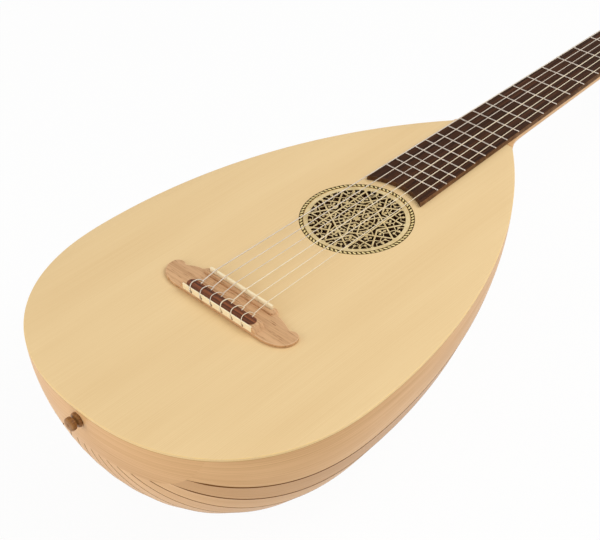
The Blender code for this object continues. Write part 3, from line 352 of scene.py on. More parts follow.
# %% A shader group with named sockets
def group(name, inputs, outputs):
    """An empty node group. inputs are name, kind and value, and outputs are names of numbers."""
    made = bpy.data.node_groups.new(name, "ShaderNodeTree")
    for label, kind, value in inputs:
        made.interface.new_socket(label, in_out="INPUT", socket_type=kind).default_value = value
    for label in outputs:
        made.interface.new_socket(label, in_out="OUTPUT", socket_type="NodeSocketFloat")
    return made, made.nodes.new("NodeGroupInput").outputs, made.nodes.new("NodeGroupOutput").inputs


def noise(tree, vector, stretch, detail=2.0, roughness=0.5):
    """Noise from 0 to 1, with so many blobs per metre along each axis."""
    place = node(tree, "ShaderNodeVectorMath", {0: vector, 1: stretch}, operation="MULTIPLY")
    values = {"Vector": place.outputs[0], "Scale": 1.0, "Detail": detail, "Roughness": roughness}
    return node(tree, "ShaderNodeTexNoise", values).outputs[0]


def between(tree, value, low, high, start=0.0, end=1.0):
    """A value spread from low and high to start and end, and kept there."""
    values = {"Value": value, "From Min": low, "From Max": high, "To Min": start, "To Max": end}
    return node(tree, "ShaderNodeMapRange", values).outputs[0]


# %% The wood group: masks of year lines, streaks, clouds and pores
FLOAT, VECTOR = "NodeSocketFloat", "NodeSocketVector"
wood_group, given, out = group(
    "wood",
    [("Place", VECTOR, (0, 0, 0)), ("Lines per metre", FLOAT, 700.0), ("Waver", FLOAT, 0.004)],
    ["Lines", "Streaks", "Clouds", "Pores"],
)
place = given["Place"]
bend = between(wood_group, noise(wood_group, place, (9.0, 2.2, 9.0)), 0.3, 0.7, -1.0, 1.0)
bend = math_node(wood_group, "MULTIPLY", bend, given["Waver"])
apart = node(wood_group, "ShaderNodeSeparateXYZ", {0: place}).outputs
across = math_node(wood_group, "MULTIPLY_ADD", apart["Z"], 0.35, apart["X"])
across = math_node(wood_group, "ADD", across, bend)
years = math_node(wood_group, "MULTIPLY", across, given["Lines per metre"])
uneven = math_node(wood_group, "MULTIPLY", noise(wood_group, place, (55.0, 0.3, 55.0)), 5.0)
year = math_node(wood_group, "FRACT", math_node(wood_group, "ADD", years, uneven))
masks = {
    "Lines": math_node(wood_group, "POWER", year, 3.0),
    "Streaks": between(wood_group, noise(wood_group, place, (900.0, 7.0, 900.0), 3.0, 0.6), 0.3, 0.7),
    "Clouds": between(wood_group, noise(wood_group, place, (26.0, 4.0, 26.0), 3.0), 0.3, 0.7),
    "Pores": between(wood_group, noise(wood_group, place, (2600.0, 160.0, 2600.0), 1.0), 0.62, 0.72),
}
for label, mask in masks.items():
    wood_group.links.new(mask, out[label])
print("wood group:", len(wood_group.nodes), "nodes")

# %% [markdown]
# ## Worn and highlighted edges
# Hands and cloths polish the edges of a guitar first. Each piece carries a number for every point that says
# how sharply the surface turns there. Materials mix an edge colour by it, which is partly real wear and
# partly a painted highlight where a rounded edge catches the light. The group breaks that number up with a
# little noise, so the edge colour isn't an even line. A bevel shader could find the edges too, but a number
# in the mesh is also kept by an export.

# %% The edge group, for wear and painted highlight
edge_group, given, out = group("wear_and_highlight_edge", [("Place", VECTOR, (0, 0, 0)), ("Edge", FLOAT, 0.0)], ["Worn"])
broken = between(edge_group, noise(edge_group, given["Place"], (90.0, 90.0, 90.0), 4.0, 0.7), 0.25, 0.6)
edge_group.links.new(math_node(edge_group, "MULTIPLY", broken, given["Edge"]), out["Worn"])


# %% What the materials share
def own_place(tree):
    """A point's place in its straight piece of wood or wire."""
    return node(tree, "ShaderNodeAttribute", attribute_name="grain").outputs["Vector"]


def scene_place(tree):
    """A point's place in the object, which is also its place in the guitar."""
    return node(tree, "ShaderNodeTexCoord").outputs["Object"]


def wear_and_highlight_share(tree, place, wear_and_highlight_amount):
    """How much of the edge colour an edge takes: partly wear, partly a painted highlight."""
    edge = node(tree, "ShaderNodeAttribute", attribute_name="edge").outputs["Fac"]
    wear_and_highlight_colour = node(tree, "ShaderNodeGroup", {"Place": place, "Edge": edge}, node_tree=edge_group)
    return math_node(tree, "MULTIPLY", wear_and_highlight_colour.outputs["Worn"], wear_and_highlight_amount)


def mixed(tree, share, *colours):
    """A colour between two colours. Each is a socket, or red, green and blue."""
    first, second = (c if isinstance(c, bpy.types.NodeSocket) else (*c, 1.0) for c in colours)
    return node(tree, "ShaderNodeMix", {0: share, 6: first, 7: second}, data_type="RGBA").outputs[2]


def bumped(tree, shader, height, distance):
    """Feeds a height in the range 0 to 1 to the shader's normal, as relief of so many metres."""
    values = {"Height": height, "Distance": distance, "Strength": 1.0}
    tree.links.new(node(tree, "ShaderNodeBump", values).outputs[0], shader.inputs["Normal"])


# %% One function for every wood
wood_relief = 0.00003


def wood(name, light, dark, shares=(0.1, 0.5, 0.4, 0.0), wear_and_highlight_colour=(1.0, 1.0, 1.0), wear_and_highlight_amount=0.0, lines=700.0,
         waver=0.004, own_grain=True, roughness=0.42, gloss=0.30, coarse=1.0):
    """A wood that goes from light to dark by shares of the four masks: lines, streaks, clouds and pores.
    coarse is the size of its streaks and pores against those of a fine wood."""
    made, tree, shader = material(name, Specular_IOR_Level=gloss)
    place = own_place(tree) if own_grain else scene_place(tree)
    if coarse != 1.0:
        size = {0: place, 1: (1 / coarse,) * 3}
        place = node(tree, "ShaderNodeVectorMath", size, operation="MULTIPLY").outputs[0]
    inputs = {"Place": place, "Lines per metre": lines, "Waver": waver}
    masks = node(tree, "ShaderNodeGroup", inputs, node_tree=wood_group).outputs
    darkness = 0.0
    for label, share in zip(("Lines", "Streaks", "Clouds", "Pores"), shares):
        darkness = math_node(tree, "MULTIPLY_ADD", masks[label], share, darkness)
    colour = mixed(tree, math_node(tree, "MINIMUM", darkness, 1.0), light, dark)
    # The edge colour is partly wear and partly a painted highlight.
    share = wear_and_highlight_share(tree, place, wear_and_highlight_amount)
    tree.links.new(mixed(tree, share, colour, wear_and_highlight_colour), shader.inputs["Base Color"])
    rough = math_node(tree, "MULTIPLY_ADD", masks["Streaks"], 0.14, roughness - 0.07)
    rough = math_node(tree, "SUBTRACT", rough, math_node(tree, "MULTIPLY", share, 0.2))
    tree.links.new(rough, shader.inputs["Roughness"])
    holes = math_node(tree, "MULTIPLY_ADD", masks["Pores"], -shares[3], 1.0)
    bumped(tree, shader, math_node(tree, "MULTIPLY_ADD", masks["Streaks"], -0.35, holes), wood_relief)
    return made


# %% The woods of this guitar
# The spruce's lighter, warmer edge colour is its end grain and a painted highlight on the rounded edge.
spruce = wood("spruce", (0.88, 0.655, 0.350), (0.70, 0.455, 0.200), (0.18, 0.16, 0.22, 0.0), lines=720.0,
              waver=0.002, own_grain=False, wear_and_highlight_colour=(0.95, 0.66, 0.27), wear_and_highlight_amount=0.65, roughness=0.46)
stave = {"shares": (0.12, 0.40, 0.45, 0.0), "lines": 300.0}
maple = wood("maple", (0.90, 0.570, 0.285), (0.56, 0.290, 0.105), **stave)
dark_maple = wood("dark_maple", (0.76, 0.46, 0.22), (0.52, 0.265, 0.10), **stave)
# The rosewood's lighter edge colour is partly wear and partly painted light: on the fingerboard it covers the
# whole side faces.
rosewood = wood("rosewood", (0.110, 0.038, 0.013), (0.016, 0.007, 0.0035), (0.30, 0.60, 0.50, 0.5),
                lines=260.0, waver=0.006, wear_and_highlight_colour=(0.30, 0.155, 0.070), wear_and_highlight_amount=0.8, roughness=0.52, gloss=0.07,
                coarse=1.6)
inlay_wood = wood("inlay_wood", (0.38, 0.118, 0.045), (0.060, 0.022, 0.012), (0.45, 0.85, 0.45, 0.3),
                  lines=420.0, waver=0.006, roughness=0.45, gloss=0.12, coarse=2.0)
dark_line = wood("dark_line", (0.240, 0.100, 0.032), (0.120, 0.046, 0.014), roughness=0.75, gloss=0.05)
seam_line = wood("seam_line", (0.30, 0.128, 0.036), (0.17, 0.066, 0.018), roughness=0.75, gloss=0.05)
brown_line = wood("brown_line", (0.62, 0.36, 0.150), (0.44, 0.240, 0.090), roughness=0.7, gloss=0.10)
rose_wood = wood("rose_wood", (0.76, 0.575, 0.270), (0.36, 0.24, 0.080), (0.15, 0.35, 0.60, 0.0), lines=500.0,
                 own_grain=False, wear_and_highlight_colour=(0.94, 0.78, 0.46), wear_and_highlight_amount=0.6, roughness=0.60, gloss=0.15)
olive_wood = wood("olive_wood", (0.085, 0.050, 0.010), (0.035, 0.020, 0.005), own_grain=False,
                  roughness=0.7, gloss=0.05)
light_wood = wood("light_wood", (0.95, 0.78, 0.38), (0.74, 0.55, 0.21), (0.1, 0.3, 0.4, 0.0), roughness=0.5)
bridge_wood = wood("bridge_wood", (0.80, 0.495, 0.260), (0.34, 0.155, 0.055), (0.20, 0.42, 0.30, 0.75),
                   lines=420.0, waver=0.005, wear_and_highlight_colour=(0.84, 0.58, 0.34), wear_and_highlight_amount=0.5, roughness=0.50, coarse=2.2)
block_wood = wood("block_wood", (0.66, 0.50, 0.32), (0.48, 0.33, 0.18), (0.3, 0.5, 0.4, 0.0), lines=350.0,
                  own_grain=False, roughness=0.7)
button_wood = wood("button_wood", (0.42, 0.180, 0.048), (0.10, 0.035, 0.010), (0.2, 0.6, 0.4, 0.2),
                   lines=900.0, wear_and_highlight_colour=(0.58, 0.30, 0.110), wear_and_highlight_amount=0.5, gloss=0.15)
print("woods:", [m.name for m in bpy.data.materials])


# %% Painted shade on the walls of the rose's openings
def painted_shade_below(made, level, fade, colour):
    """Paints shade into a material: brings it to a dark colour below a height in the scene, over a short
    fade.
    """
    tree = made.node_tree
    base = tree.nodes["Principled BSDF"].inputs["Base Color"]
    height = node(tree, "ShaderNodeSeparateXYZ", {0: scene_place(tree)}).outputs["Z"]
    share = between(tree, height, level - fade, level, 1.0, 0.0)
    tree.links.new(mixed(tree, share, base.links[0].from_socket, colour), base)


# The walls of the rose's openings lie in shade, and that shade is painted on them.
painted_shade_below(rose_wood, lift[2] - 0.00075, 0.0003, (0.075, 0.035, 0.010))

# %% [markdown]
# ## Metal, bone and strings
# Nickel is a mirror with a little brushed roughness. Bone is pale with faint streaks. A nylon string looks
# milky. A wound bass string is silver wire: thousands of turns, too fine to model, so a wave along the
# string gives the bump, and a painted shade darkens the grooves between the turns.


# %% Nickel, bone, plastic, nylon and silver
def fine_surface(name, light, dark, roughness, stretch, relief=0.00001, **fixed):
    """A hard surface that goes between two close colours with a fine noise, which is also its relief."""
    made, tree, shader = material(name, **fixed)
    place = own_place(tree)
    cloud = between(tree, noise(tree, place, stretch, 4.0), 0.3, 0.7)
    colour = mixed(tree, wear_and_highlight_share(tree, place, 0.5), mixed(tree, cloud, dark, light), light)
    tree.links.new(colour, shader.inputs["Base Color"])
    rough = math_node(tree, "MULTIPLY_ADD", cloud, -0.12, roughness + 0.06)
    tree.links.new(rough, shader.inputs["Roughness"])
    bumped(tree, shader, cloud, relief)
    return made


def wound_wire(name):
    """Silver wire wound on a core. Waves along the string, 0.35 mm apart, are the turns of the wire. The
    grooves between them get a painted shade.
    """
    made, tree, shader = material(name, Roughness=0.36, Metallic=0.35)
    place = own_place(tree)
    along = node(tree, "ShaderNodeSeparateXYZ", {0: place}).outputs["Y"]
    wave = math_node(tree, "SINE", math_node(tree, "MULTIPLY", along, 2 * np.pi / 0.00035))
    wave = math_node(tree, "MULTIPLY_ADD", wave, 0.5, 0.5)
    dull = between(tree, noise(tree, place, (200, 30, 200), 3.0), 0.3, 0.7)
    base = mixed(tree, dull, (0.62, 0.53, 0.42), (0.76, 0.66, 0.54))
    # Painted shade in the grooves between the turns.
    shaded_grooves = mixed(tree, 0.3, base, (0.5, 0.45, 0.38))
    tree.links.new(mixed(tree, wave, shaded_grooves, base), shader.inputs["Base Color"])
    bumped(tree, shader, wave, 0.00004)
    return made


brushed = {"stretch": (700, 60, 700), "relief": 0.000008, "Metallic": 1.0}
nickel = fine_surface("nickel", (0.74, 0.70, 0.63), (0.58, 0.53, 0.45), 0.26, **brushed)
fret_metal = fine_surface("fret_metal", (0.54, 0.47, 0.40), (0.42, 0.36, 0.30), 0.34, **brushed)
bone = fine_surface("bone", (0.98, 0.85, 0.58), (0.92, 0.76, 0.48), 0.40, (60, 700, 400),
                    Specular_IOR_Level=0.35)
white_plastic = fine_surface("white_roller", (0.88, 0.86, 0.80), (0.80, 0.77, 0.69), 0.34, (200, 200, 200))
pearl = fine_surface("pearl", (0.90, 0.88, 0.82), (0.74, 0.72, 0.68), 0.22, (180, 120, 150), Coat_Weight=0.6)
nylon = fine_surface("nylon", (0.86, 0.74, 0.54), (0.76, 0.64, 0.45), 0.28, (300, 40, 300))
silver = wound_wire("silver_wound")
string_finish = [(nylon, "nylon")] * 3 + [(silver, "silver_wound")] * 3

# %% [markdown]
# ## The body's outline
# A lute's body is a pear. In front of its widest place the side is one arc of a circle that runs into the
# neck, and behind it the tail is a rounder curve than an ellipse: a superellipse. The bowl under it is the
# same outline again and again, turned round the soundboard's middle line and a little flattened.

# %% The outline, and a point of the bowl
half_width, widest, tail_reach, fullness = 0.1624, -0.01135, 0.16155, 2.3
neck_half, joint = 0.0353, 0.3250
rim, depth_share, rib_thick = -0.0028, 0.98, 0.0020
clasp_deep, clasp_wide, clasp_gap = 0.042, 0.108, 0.00003


def outline(share):
    """Half-width, Y and outward normal of the edge. share is 0 at the neck end, 1 at the widest place and 2
    at the tail. Up to 1 the edge is an arc. Then half-width and Y are cosine and sine to the power 2/2.3."""
    share = np.asarray(share, float)
    inset = half_width - neck_half
    radius = (inset**2 + (joint - widest) ** 2) / (2 * inset)
    y = joint + (widest - joint) * np.minimum(share, 1.0)
    half = half_width - radius + np.sqrt(radius**2 - (y - widest) ** 2)
    nx, ny = (half - half_width + radius) / radius, (y - widest) / radius
    turn = np.clip(share - 1, 0, 1) * np.pi / 2
    c, s, power = np.maximum(np.cos(turn), 0), np.sin(turn), 2 / fullness
    behind = share > 1
    half = np.where(behind, half_width * c**power, half)
    y = np.where(behind, widest - tail_reach * s**power, y)
    nx = np.where(behind, c ** (2 - power) / half_width, nx)
    ny = np.where(behind, -(s ** (2 - power)) / tail_reach, ny)
    length = np.hypot(nx, ny)
    return half, y, nx / length, ny / length


def bowl(across, down, share, inward=0.0):
    """A point of the bowl: the outline's half-width times (across, down), which is a cosine and a sine."""
    half, y, nx, ny = outline(share)
    half, y = half - inward * nx, y - inward * ny
    return points_of(half * across, y, rim - depth_share * half * down)


def clasp_share(across, down, set_back=0.0):
    """The outline share at which a line of the bowl meets the clasp's edge, found by halving. The edge is
    42 mm deep round the tail and turns up to the rim 108 mm from the middle."""
    deep, wide = clasp_deep + set_back, clasp_wide + set_back
    low, high = np.zeros_like(across), np.full_like(across, half_width)
    for _ in range(40):
        middle = (low + high) / 2
        below = depth_share * middle * down > deep * (1 - (middle * across / wide) ** 6)
        low, high = np.where(below, low, middle), np.where(below, middle, high)
    return 1 + np.arccos(np.minimum((high / half_width) ** (fullness / 2), 1)) / (np.pi / 2)


# %% The seams between the ribs
rib_count, side_angle, taper = 15, np.radians(15.1), 0.203
widths = 1 - taper * np.abs(np.arange(rib_count) - rib_count // 2) / (rib_count // 2)
widths *= (np.pi - 2 * side_angle) / widths.sum()
seams = side_angle + np.concatenate([[0], np.cumsum(widths)])
print("seams at", np.degrees(seams).round(1), "degrees")

# %% [markdown]
# ## The ribs
# A bowl is glued up from thin staves of maple, each bent over a hot iron along its length and flat across.
# So the bowl isn't round but has soft ridges. Wide ribs close it at the soundboard. We could take one
# smooth bowl and draw lines on it, but then the ridges would be missing where light falls along them. Each
# rib is a wall between two grids. Its edges stay half a line's width short of the seam, where a strip of
# dark wood goes.

# %% The ribs
thick_line, thin_line = 0.00085, 0.00068
row_place = np.linspace(0, 1, 97)[:, None]
narrowing = np.clip((1 - row_place) / 0.05, 0.15, 1)


def line_width(width):
    """Half-width of a seam line at each row. The thick lines end in a point at the clasp."""
    return width * (narrowing if width == thick_line else np.ones_like(narrowing))


def shares_to(end):
    """Outline shares from the neck end to this end, as rows, with the widest place half-way."""
    return np.where(row_place < 0.5, 2 * row_place, 1 + (end - 1) * (2 * row_place - 1))


def rib(name, number, first, last, margins):
    """A rib between two angles: a wall 2 mm thick that ends at the clasp. Side ribs, 0 and 16, are round."""
    flat = 0 < number <= rib_count
    corner = np.array([[np.cos(first), np.sin(first)], [np.cos(last), np.sin(last)]])
    chord = np.hypot(*(corner[1] - corner[0]))
    half = outline(shares_to(1.8))[0]
    low, high = line_width(margins[0]) / (half * chord), 1 - line_width(margins[1]) / (half * chord)
    t = low + (high - low) * np.linspace(0, 1, 5 if flat else 17)
    if flat:
        across, down = (corner[0][i] + (corner[1][i] - corner[0][i]) * t for i in (0, 1))
    else:
        across, down = np.cos(first + (last - first) * t), np.sin(first + (last - first) * t)
    share = shares_to(clasp_share(across, down, clasp_gap))
    sheets = []
    for inward in (0.0, rib_thick):
        place = bowl(across, down, share, inward)
        grain = points_of(t * chord * half_width + number * 0.31, run_along(place) + number * 0.77, inward)
        sheets.append(np.concatenate([place, grain], axis=-1))
    piece(name, [slab_of(*sheets)], dark_maple if number in (1, rib_count) else maple, "maple")


rib("treble_side_rib", 0, 0.0, seams[0], (0.0, thick_line))
rib("bass_side_rib", rib_count + 1, np.pi, seams[-1], (0.0, thick_line))
line_widths = [thick_line] * 2 + [thin_line] * (rib_count - 3) + [thick_line] * 2
for number in range(1, rib_count + 1):
    rib(f"rib_{number:02d}", number, *seams[number - 1:number + 1], line_widths[number - 1:number + 1])

# %% [markdown]
# ## The lines between the ribs
# Strips of dark wood stand between the ribs. The two next to each side rib are wider. A strip is a small
# profile carried along the seam: at each point of the path we need a direction across and one outwards.


# %% A profile carried along a path
def swept(path, across, profile):
    """Rows of a profile along a path. The profile's first number goes along the direction across, and the
    second goes outwards, square to both the path and that direction."""
    forward = unit(np.gradient(path, axis=0))
    across = unit(across - forward * (across * forward).sum(axis=-1, keepdims=True))
    outward = np.cross(across, forward)
    profile = np.asarray(profile, float)
    if profile.ndim == 2:
        profile = np.broadcast_to(profile, (len(path), *profile.shape))
    place = path[:, None] + across[:, None] * profile[..., :1] + outward[:, None] * profile[..., 1:2]
    own = points_of(profile[..., 0], run_along(path)[:, None], profile[..., 1])
    return np.concatenate([place, own], axis=-1)


# %% The seam lines
line_deep, crown = -0.0015, 0.00004
line_shells = {thick_line: [], thin_line: []}
for angle, width in zip(seams, line_widths):
    c, s = np.full_like(row_place, np.cos(angle)), np.full_like(row_place, np.sin(angle))
    path = bowl(c, s, shares_to(clasp_share(c, s, clasp_gap)))[:, 0]
    across = np.broadcast_to((np.sin(angle), 0.0, np.cos(angle)), path.shape)
    side = np.array((-1, -1, 0, 1, 1)) * line_width(width)
    loop = points_of(side, (line_deep, -crown, crown, -crown, line_deep))
    line_shells[width].append(shell_of(swept(path, across, loop)))
piece("thick_rib_lines", line_shells[thick_line], dark_line, "rosewood")
piece("thin_rib_lines", line_shells[thin_line], seam_line, "rosewood")

# %% [markdown]
# ## The end clasp
# The clasp is one broad band bent round the tail over the ribs' ends. It has no ridges, so its rows are
# true arcs. They all run to one point in the middle of the tail's rim.

# %% The end clasp
angles = np.linspace(0, np.pi, 161)[None]
across, down = np.cos(angles), np.sin(angles)
first = clasp_share(across, down)
share = first + (2 - first) * np.linspace(0, 1, 41)[:, None] ** 0.8
sheets = []
for inward in (0.0, rib_thick):
    place = bowl(across, down, share, inward)
    sheets.append(np.concatenate([place, points_of(place[..., 2], angles * 0.11, inward)], axis=-1))
piece("end_clasp", [slab_of(*sheets)], maple, "maple")

# %% [markdown]
# ## The soundboard
# The soundboard is spruce, 2.5 mm thick. Its edge is rounded, and lighter and warmer in colour there: the
# warmer end grain, and a painted highlight on the round. It has a round hole for the rose. It is a ring: a
# closed profile that goes over the top, round the outer edge, back under the board and up the wall of the
# hole, carried once round the outline.

# %% The soundboard
rose_place, hole_radius, board_thick = 0.141222, 0.0476, 0.0025
round_edge, under_edge = 0.0009, 0.0002
half, y, nx, ny = outline(np.concatenate([np.linspace(0, 1, 60, endpoint=False), np.linspace(1, 2, 91)]))
edge, out = both_sides(points_of(half, y), 1), both_sides(points_of(nx, ny), 1)
neck_side = points_of(np.linspace(-neck_half, neck_half, 9)[1:-1], joint)
edge = np.concatenate([edge, neck_side])
out = np.concatenate([out, np.broadcast_to((0.0, 1.0), neck_side.shape)])
hole = (0, rose_place) + unit(edge - (0, rose_place)) * hole_radius
rings = [(hole + (edge - hole) * s, 0.0) for s in (0.0, 0.03, 0.3, 0.6, 0.9)]
for turn in np.radians((0, 30, 60, 90)):
    rings.append((edge - out * round_edge * (1 - np.sin(turn)), -round_edge * (1 - np.cos(turn))))
rings += [(edge, under_edge - board_thick), (edge - out * under_edge, -board_thick), (hole, -board_thick)]
grid = [points_of(*flat.T, height) for flat, height in rings]
piece("soundboard", [shell_of(grid, close_rows=True)], spruce, "spruce")

# %% The brown line under the soundboard's edge
path = points_of(*edge.T, -board_thick - 0.0002)[:-len(neck_side)]
across = points_of(*out.T, 0.0)[:-len(neck_side)]
loop = [(-0.0016, -0.0005), (-0.00005, -0.0005), (-0.00005, 0.0005), (-0.0016, 0.0005)]
piece("edge_line", [shell_of(swept(path, across, loop))], brown_line, "rosewood")

# %% [markdown]
# ## The rose
# The rose is cut from one thin disc of wood: two large six-pointed stars and a small one, laced over and
# under each other, with vines and small flowers in the openings. The plain model has only the openings.
# Here each strap is a small profile with chamfered edges, carried along its line. All of it repeats six
# times round the middle, and most of it is also mirrored. So a table with one line for each kind of strap
# is enough.

# %% The table of straps, in millimetres from the rose's middle
rose_straps = [
    # points, width, mirrored too, how far it rises and falls
    ([(20.8, -39.0), (20.8, 39.0)], 1.9, False, 0.20),
    ([(24.0, 0.0), (37.8, 23.9)], 1.9, True, 0.0),
    ([(5.0, -0.3), (14.5, 16.1)], 1.5, True, 0.0),
    ([(20.8, 4.0), (26.8, 8.4)], 1.2, True, 0.0),
    ([(31.4, 0.4), (34.2, 3.4), (34.5, 7.3), (36.4, 10.2)], 0.9, True, 0.0),
    ([(37.2, 10.2), (33.6, 12.1), (31.0, 14.4), (28.5, 16.5)], 0.9, True, 0.0),
    ([(38.3, 5.9), (43.8, 4.7)], 0.8, True, 0.0),
    ([(38.3, 5.9), (37.6, 9.8)], 0.7, True, 0.0),
    ([(36.1, 14.9), (40.1, 18.3)], 0.8, True, 0.0),
    ([(36.1, 14.9), (37.7, 10.9)], 0.7, True, 0.0),
    ([(37.0, 10.0), (43.8, 11.8)], 1.4, True, 0.0),
    ([(7.4, 0.0), (20.3, 0.0)], 0.8, False, 0.0),
    ([(10.8, 0.0), (11.5, 4.6)], 1.0, True, 0.0),
    ([(25.0, 0.0), (32.0, 0.0)], 1.1, False, 0.0),
    ([(29.3, 0.0), (30.2, 4.4)], 1.1, True, 0.0),
    ([(15.3, 12.4), (18.4, 7.1)], 1.2, False, 0.0),
    ([(16.8, 9.7), (20.4, 11.8)], 1.0, False, 0.0),
    ([(21.4, 12.4), (28.5, 16.5)], 1.1, False, 0.0),
    ([(24.4, 17.4), (26.9, 13.0)], 1.2, False, 0.0),
]
rose_flowers = [(8.9, 0.0, 1.25), (11.3, 1.5, 1.0), (11.3, -1.5, 1.0), (27.2, 0.0, 1.3), (30.0, 3.2, 1.1),
                (30.0, -3.2, 1.1), (38.3, 5.9, 1.15), (38.3, -5.9, 1.15), (36.1, 14.9, 1.15),
                (30.9, -23.8, 1.15), (39.8, 10.9, 1.3), (39.8, -10.9, 1.3), (15.4, 12.2, 1.0),
                (18.3, 7.3, 1.0), (24.4, 17.3, 1.0), (26.9, 13.1, 1.0), (23.4, 13.5, 1.2)]


def turned(points, turn, mirror=1):
    """Points of the rose in one of its six turns, in metres: x and y, then whatever else the point has."""
    points = np.array(points, float) * 0.001
    x, y = points[..., 0], points[..., 1] * mirror
    c, s = np.cos(np.pi / 3 * turn), np.sin(np.pi / 3 * turn)
    return np.concatenate([points_of(x * c - y * s, x * s + y * c), points[..., 2:]], axis=-1)


# %% Straps of the rose
def ring_shell(profile):
    """A closed profile of (radius, height) carried round the rose's middle."""
    angle = turns(96)
    rows = [points_of(r * np.cos(angle), rose_place + r * np.sin(angle), z) for r, z in profile]
    return shell_of(rows, close_rows=True)


def strap_profile(half, chamfer, deep):
    """A strap's section, with its upper edges cut off."""
    return both_sides(np.array([(half, -deep), (half, -chamfer), (half - chamfer, 0)]))


strap_top, wave_length = -0.0004, 24
shells = []
for corners, width, mirror_too, wave in rose_straps:
    corners = np.array(corners)
    if wave:
        corners = corners[0] + (corners[1] - corners[0]) * np.linspace(0, 1, 27)[:, None]
    along = run_along(corners)
    rise = wave * np.sin(np.pi * (along - along[-1] / 2) / wave_length)
    loop = strap_profile(width * 0.41, min(0.3, width / 5), 1.4) * (0.001, -0.001)
    for turn in range(6):
        for mirror in (1, -1) if mirror_too else (1,):
            path = turned(np.column_stack([corners, rise]), turn, mirror) + (0, rose_place, strap_top)
            step = np.gradient(path, axis=0)
            shells.append(shell_of(swept(path, points_of(-step[:, 1], step[:, 0], 0.0), loop)))
for radius, half, top in ((0.0159, 0.00045, strap_top - 0.00005), (0.0455, 0.0021, -0.0002)):
    shells.append(ring_shell(strap_profile(half, 0.0003, 0.0014) + (radius, top)))
piece("rose", shells, rose_wood, "rose_wood")


# %% Flowers of the rose
def flower(x, y, size, petals, deep):
    """A flower as a low dome: its edge is a circle with so many waves."""
    angle, rows = turns(36), []
    for share, height in ((1.0, -0.0009), (1.0, 0.0), (0.75, 0.00025), (0.25, 0.00035)):
        r = size * share * (1 + deep * share * np.cos(petals * angle))
        rows.append(points_of(x + r * np.cos(angle), y + rose_place + r * np.sin(angle), strap_top + height))
    return shell_of(rows)


shells = [flower(0, 0, 0.0030, 6, 0.28)]
for x, y, size in rose_flowers:
    shells += [flower(*turned((x, y), turn), size * 0.001, 3, 0.12) for turn in range(6)]
piece("rose_flowers", shells, rose_wood, "rose_wood")

# %% The rope ring round the rose
rope_radius, rope_in, rope_out, rope_low, beads = 0.0496, 0.0477, 0.0515, -0.0006, 78
bed = [(rope_in, rope_low), (rope_in, 0.00003), (rope_out, 0.00003), (rope_out, rope_low)]
piece("rope_bed", [ring_shell(bed)], olive_wood, "rose_wood")
half_long, half_wide, lean = 0.00205, 0.00084, np.radians(38)
share, width, height = np.array([(-1, 0.05, 0.0), (-0.6, 0.8, 0.00009), (0, 1.0, 0.00014),
                                 (0.6, 0.8, 0.00009), (1, 0.05, 0.0)]).T[..., None]
side, up = np.array([(-1, -0.0003), (-1, 0.0), (0, 1.0), (1, 0.0), (1, -0.0003)]).T
u, v = share * half_long, side * half_wide * width
tangent, radius = u * np.cos(lean) - v * np.sin(lean), rope_radius + u * np.sin(lean) + v * np.cos(lean)
z = np.where(up > 0, height, 0.00004 + up)
shells = []
for middle in turns(beads):
    turn = middle + tangent / rope_radius
    shells.append(shell_of(points_of(radius * np.cos(turn), rose_place + radius * np.sin(turn), z)))
piece("rope_beads", shells, light_wood, "rose_wood")

# %% [markdown]
# ## The fingerboard and the frets
# The board is a thin taper of rosewood whose end is hollowed round the rose. The frets are nickel wire,
# pressed into slots, and their ends are filed round. Fret n stands at the string length times 2 to the
# power -n/12 from the saddle. The board is a wall between two grids, so its hollow end stays a true arc.

# %% The fingerboard
scale_length, board_low, board_top = 0.650, 0.0003, 0.0046
nut_half, widening, hollow = 0.02295, 0.019425, 0.0591


def board_half(y):
    """Half-width of the fingerboard."""
    return nut_half + widening * (scale_length - y)


columns = np.concatenate([[-1, -0.994, -0.982], np.linspace(-0.95, 0.95, 25), [0.982, 0.994, 1]])
drop = np.interp(np.abs(columns), (0.982, 0.994, 1.0), (0.0, 0.00012, 0.0005))
rows = np.concatenate([[0, 0.0006], np.linspace(0.003, 1, 60)])[:, None]
x = columns * board_half(rose_place + hollow)
for _ in range(5):
    end_y = rose_place + np.sqrt(hollow**2 - np.minimum(x**2, 0.9 * hollow**2))
    x = columns * board_half(end_y)
y = end_y + (scale_length - 0.0003 - end_y) * rows
height = board_top - drop - np.interp(rows, (0, 0.0006), (0.0003, 0.0))
sheets = [points_of(columns * board_half(y), y, z) for z in (height, board_low)]
fingerboard = piece("fingerboard", [slab_of(*sheets)], rosewood, "rosewood")

# %% Less of the lighter edge colour on the fingerboard's end than on its long edges: painted light on the long sides, painted shade on the end
edge_share = fingerboard.data.attributes["edge"].data
for point in fingerboard.data.vertices:
    if abs(point.co.x) < 0.97 * board_half(point.co.y - lift[1]):
        edge_share[point.index].value *= 0.25
print("worn points:", sum(share.value > 0.5 for share in edge_share))

# %% The frets
fret_count, fret_half, fret_height, fret_low = 19, 0.00064, 0.0010, 0.0006
arch = np.linspace(0, np.pi, 9)
inset = np.array([0.0, 0.00012, 0.0004, 0.0009])
grown = np.array([0.30, 0.62, 0.88, 1.0])
grown = np.concatenate([grown, [1.0], grown[::-1]])[:, None]
shells = []
for number in range(1, fret_count + 1):
    y = scale_length * 2 ** (-number / 12)
    reach = board_half(y) - 0.0003
    x = np.concatenate([-reach + inset, [0.0], reach - inset[::-1]])[:, None]
    z = board_top - 0.0001 + fret_height * grown * np.sin(arch) ** 0.8
    foot = points_of(x, (y - fret_half, y + fret_half), board_top - fret_low)
    shells.append(shell_of(np.concatenate([points_of(x, y + fret_half * np.cos(arch), z), foot], axis=1)))
print("first and last fret at", round(scale_length * 2 ** (-1 / 12), 4), round(y, 4))
piece("frets", shells, fret_metal, "nickel")

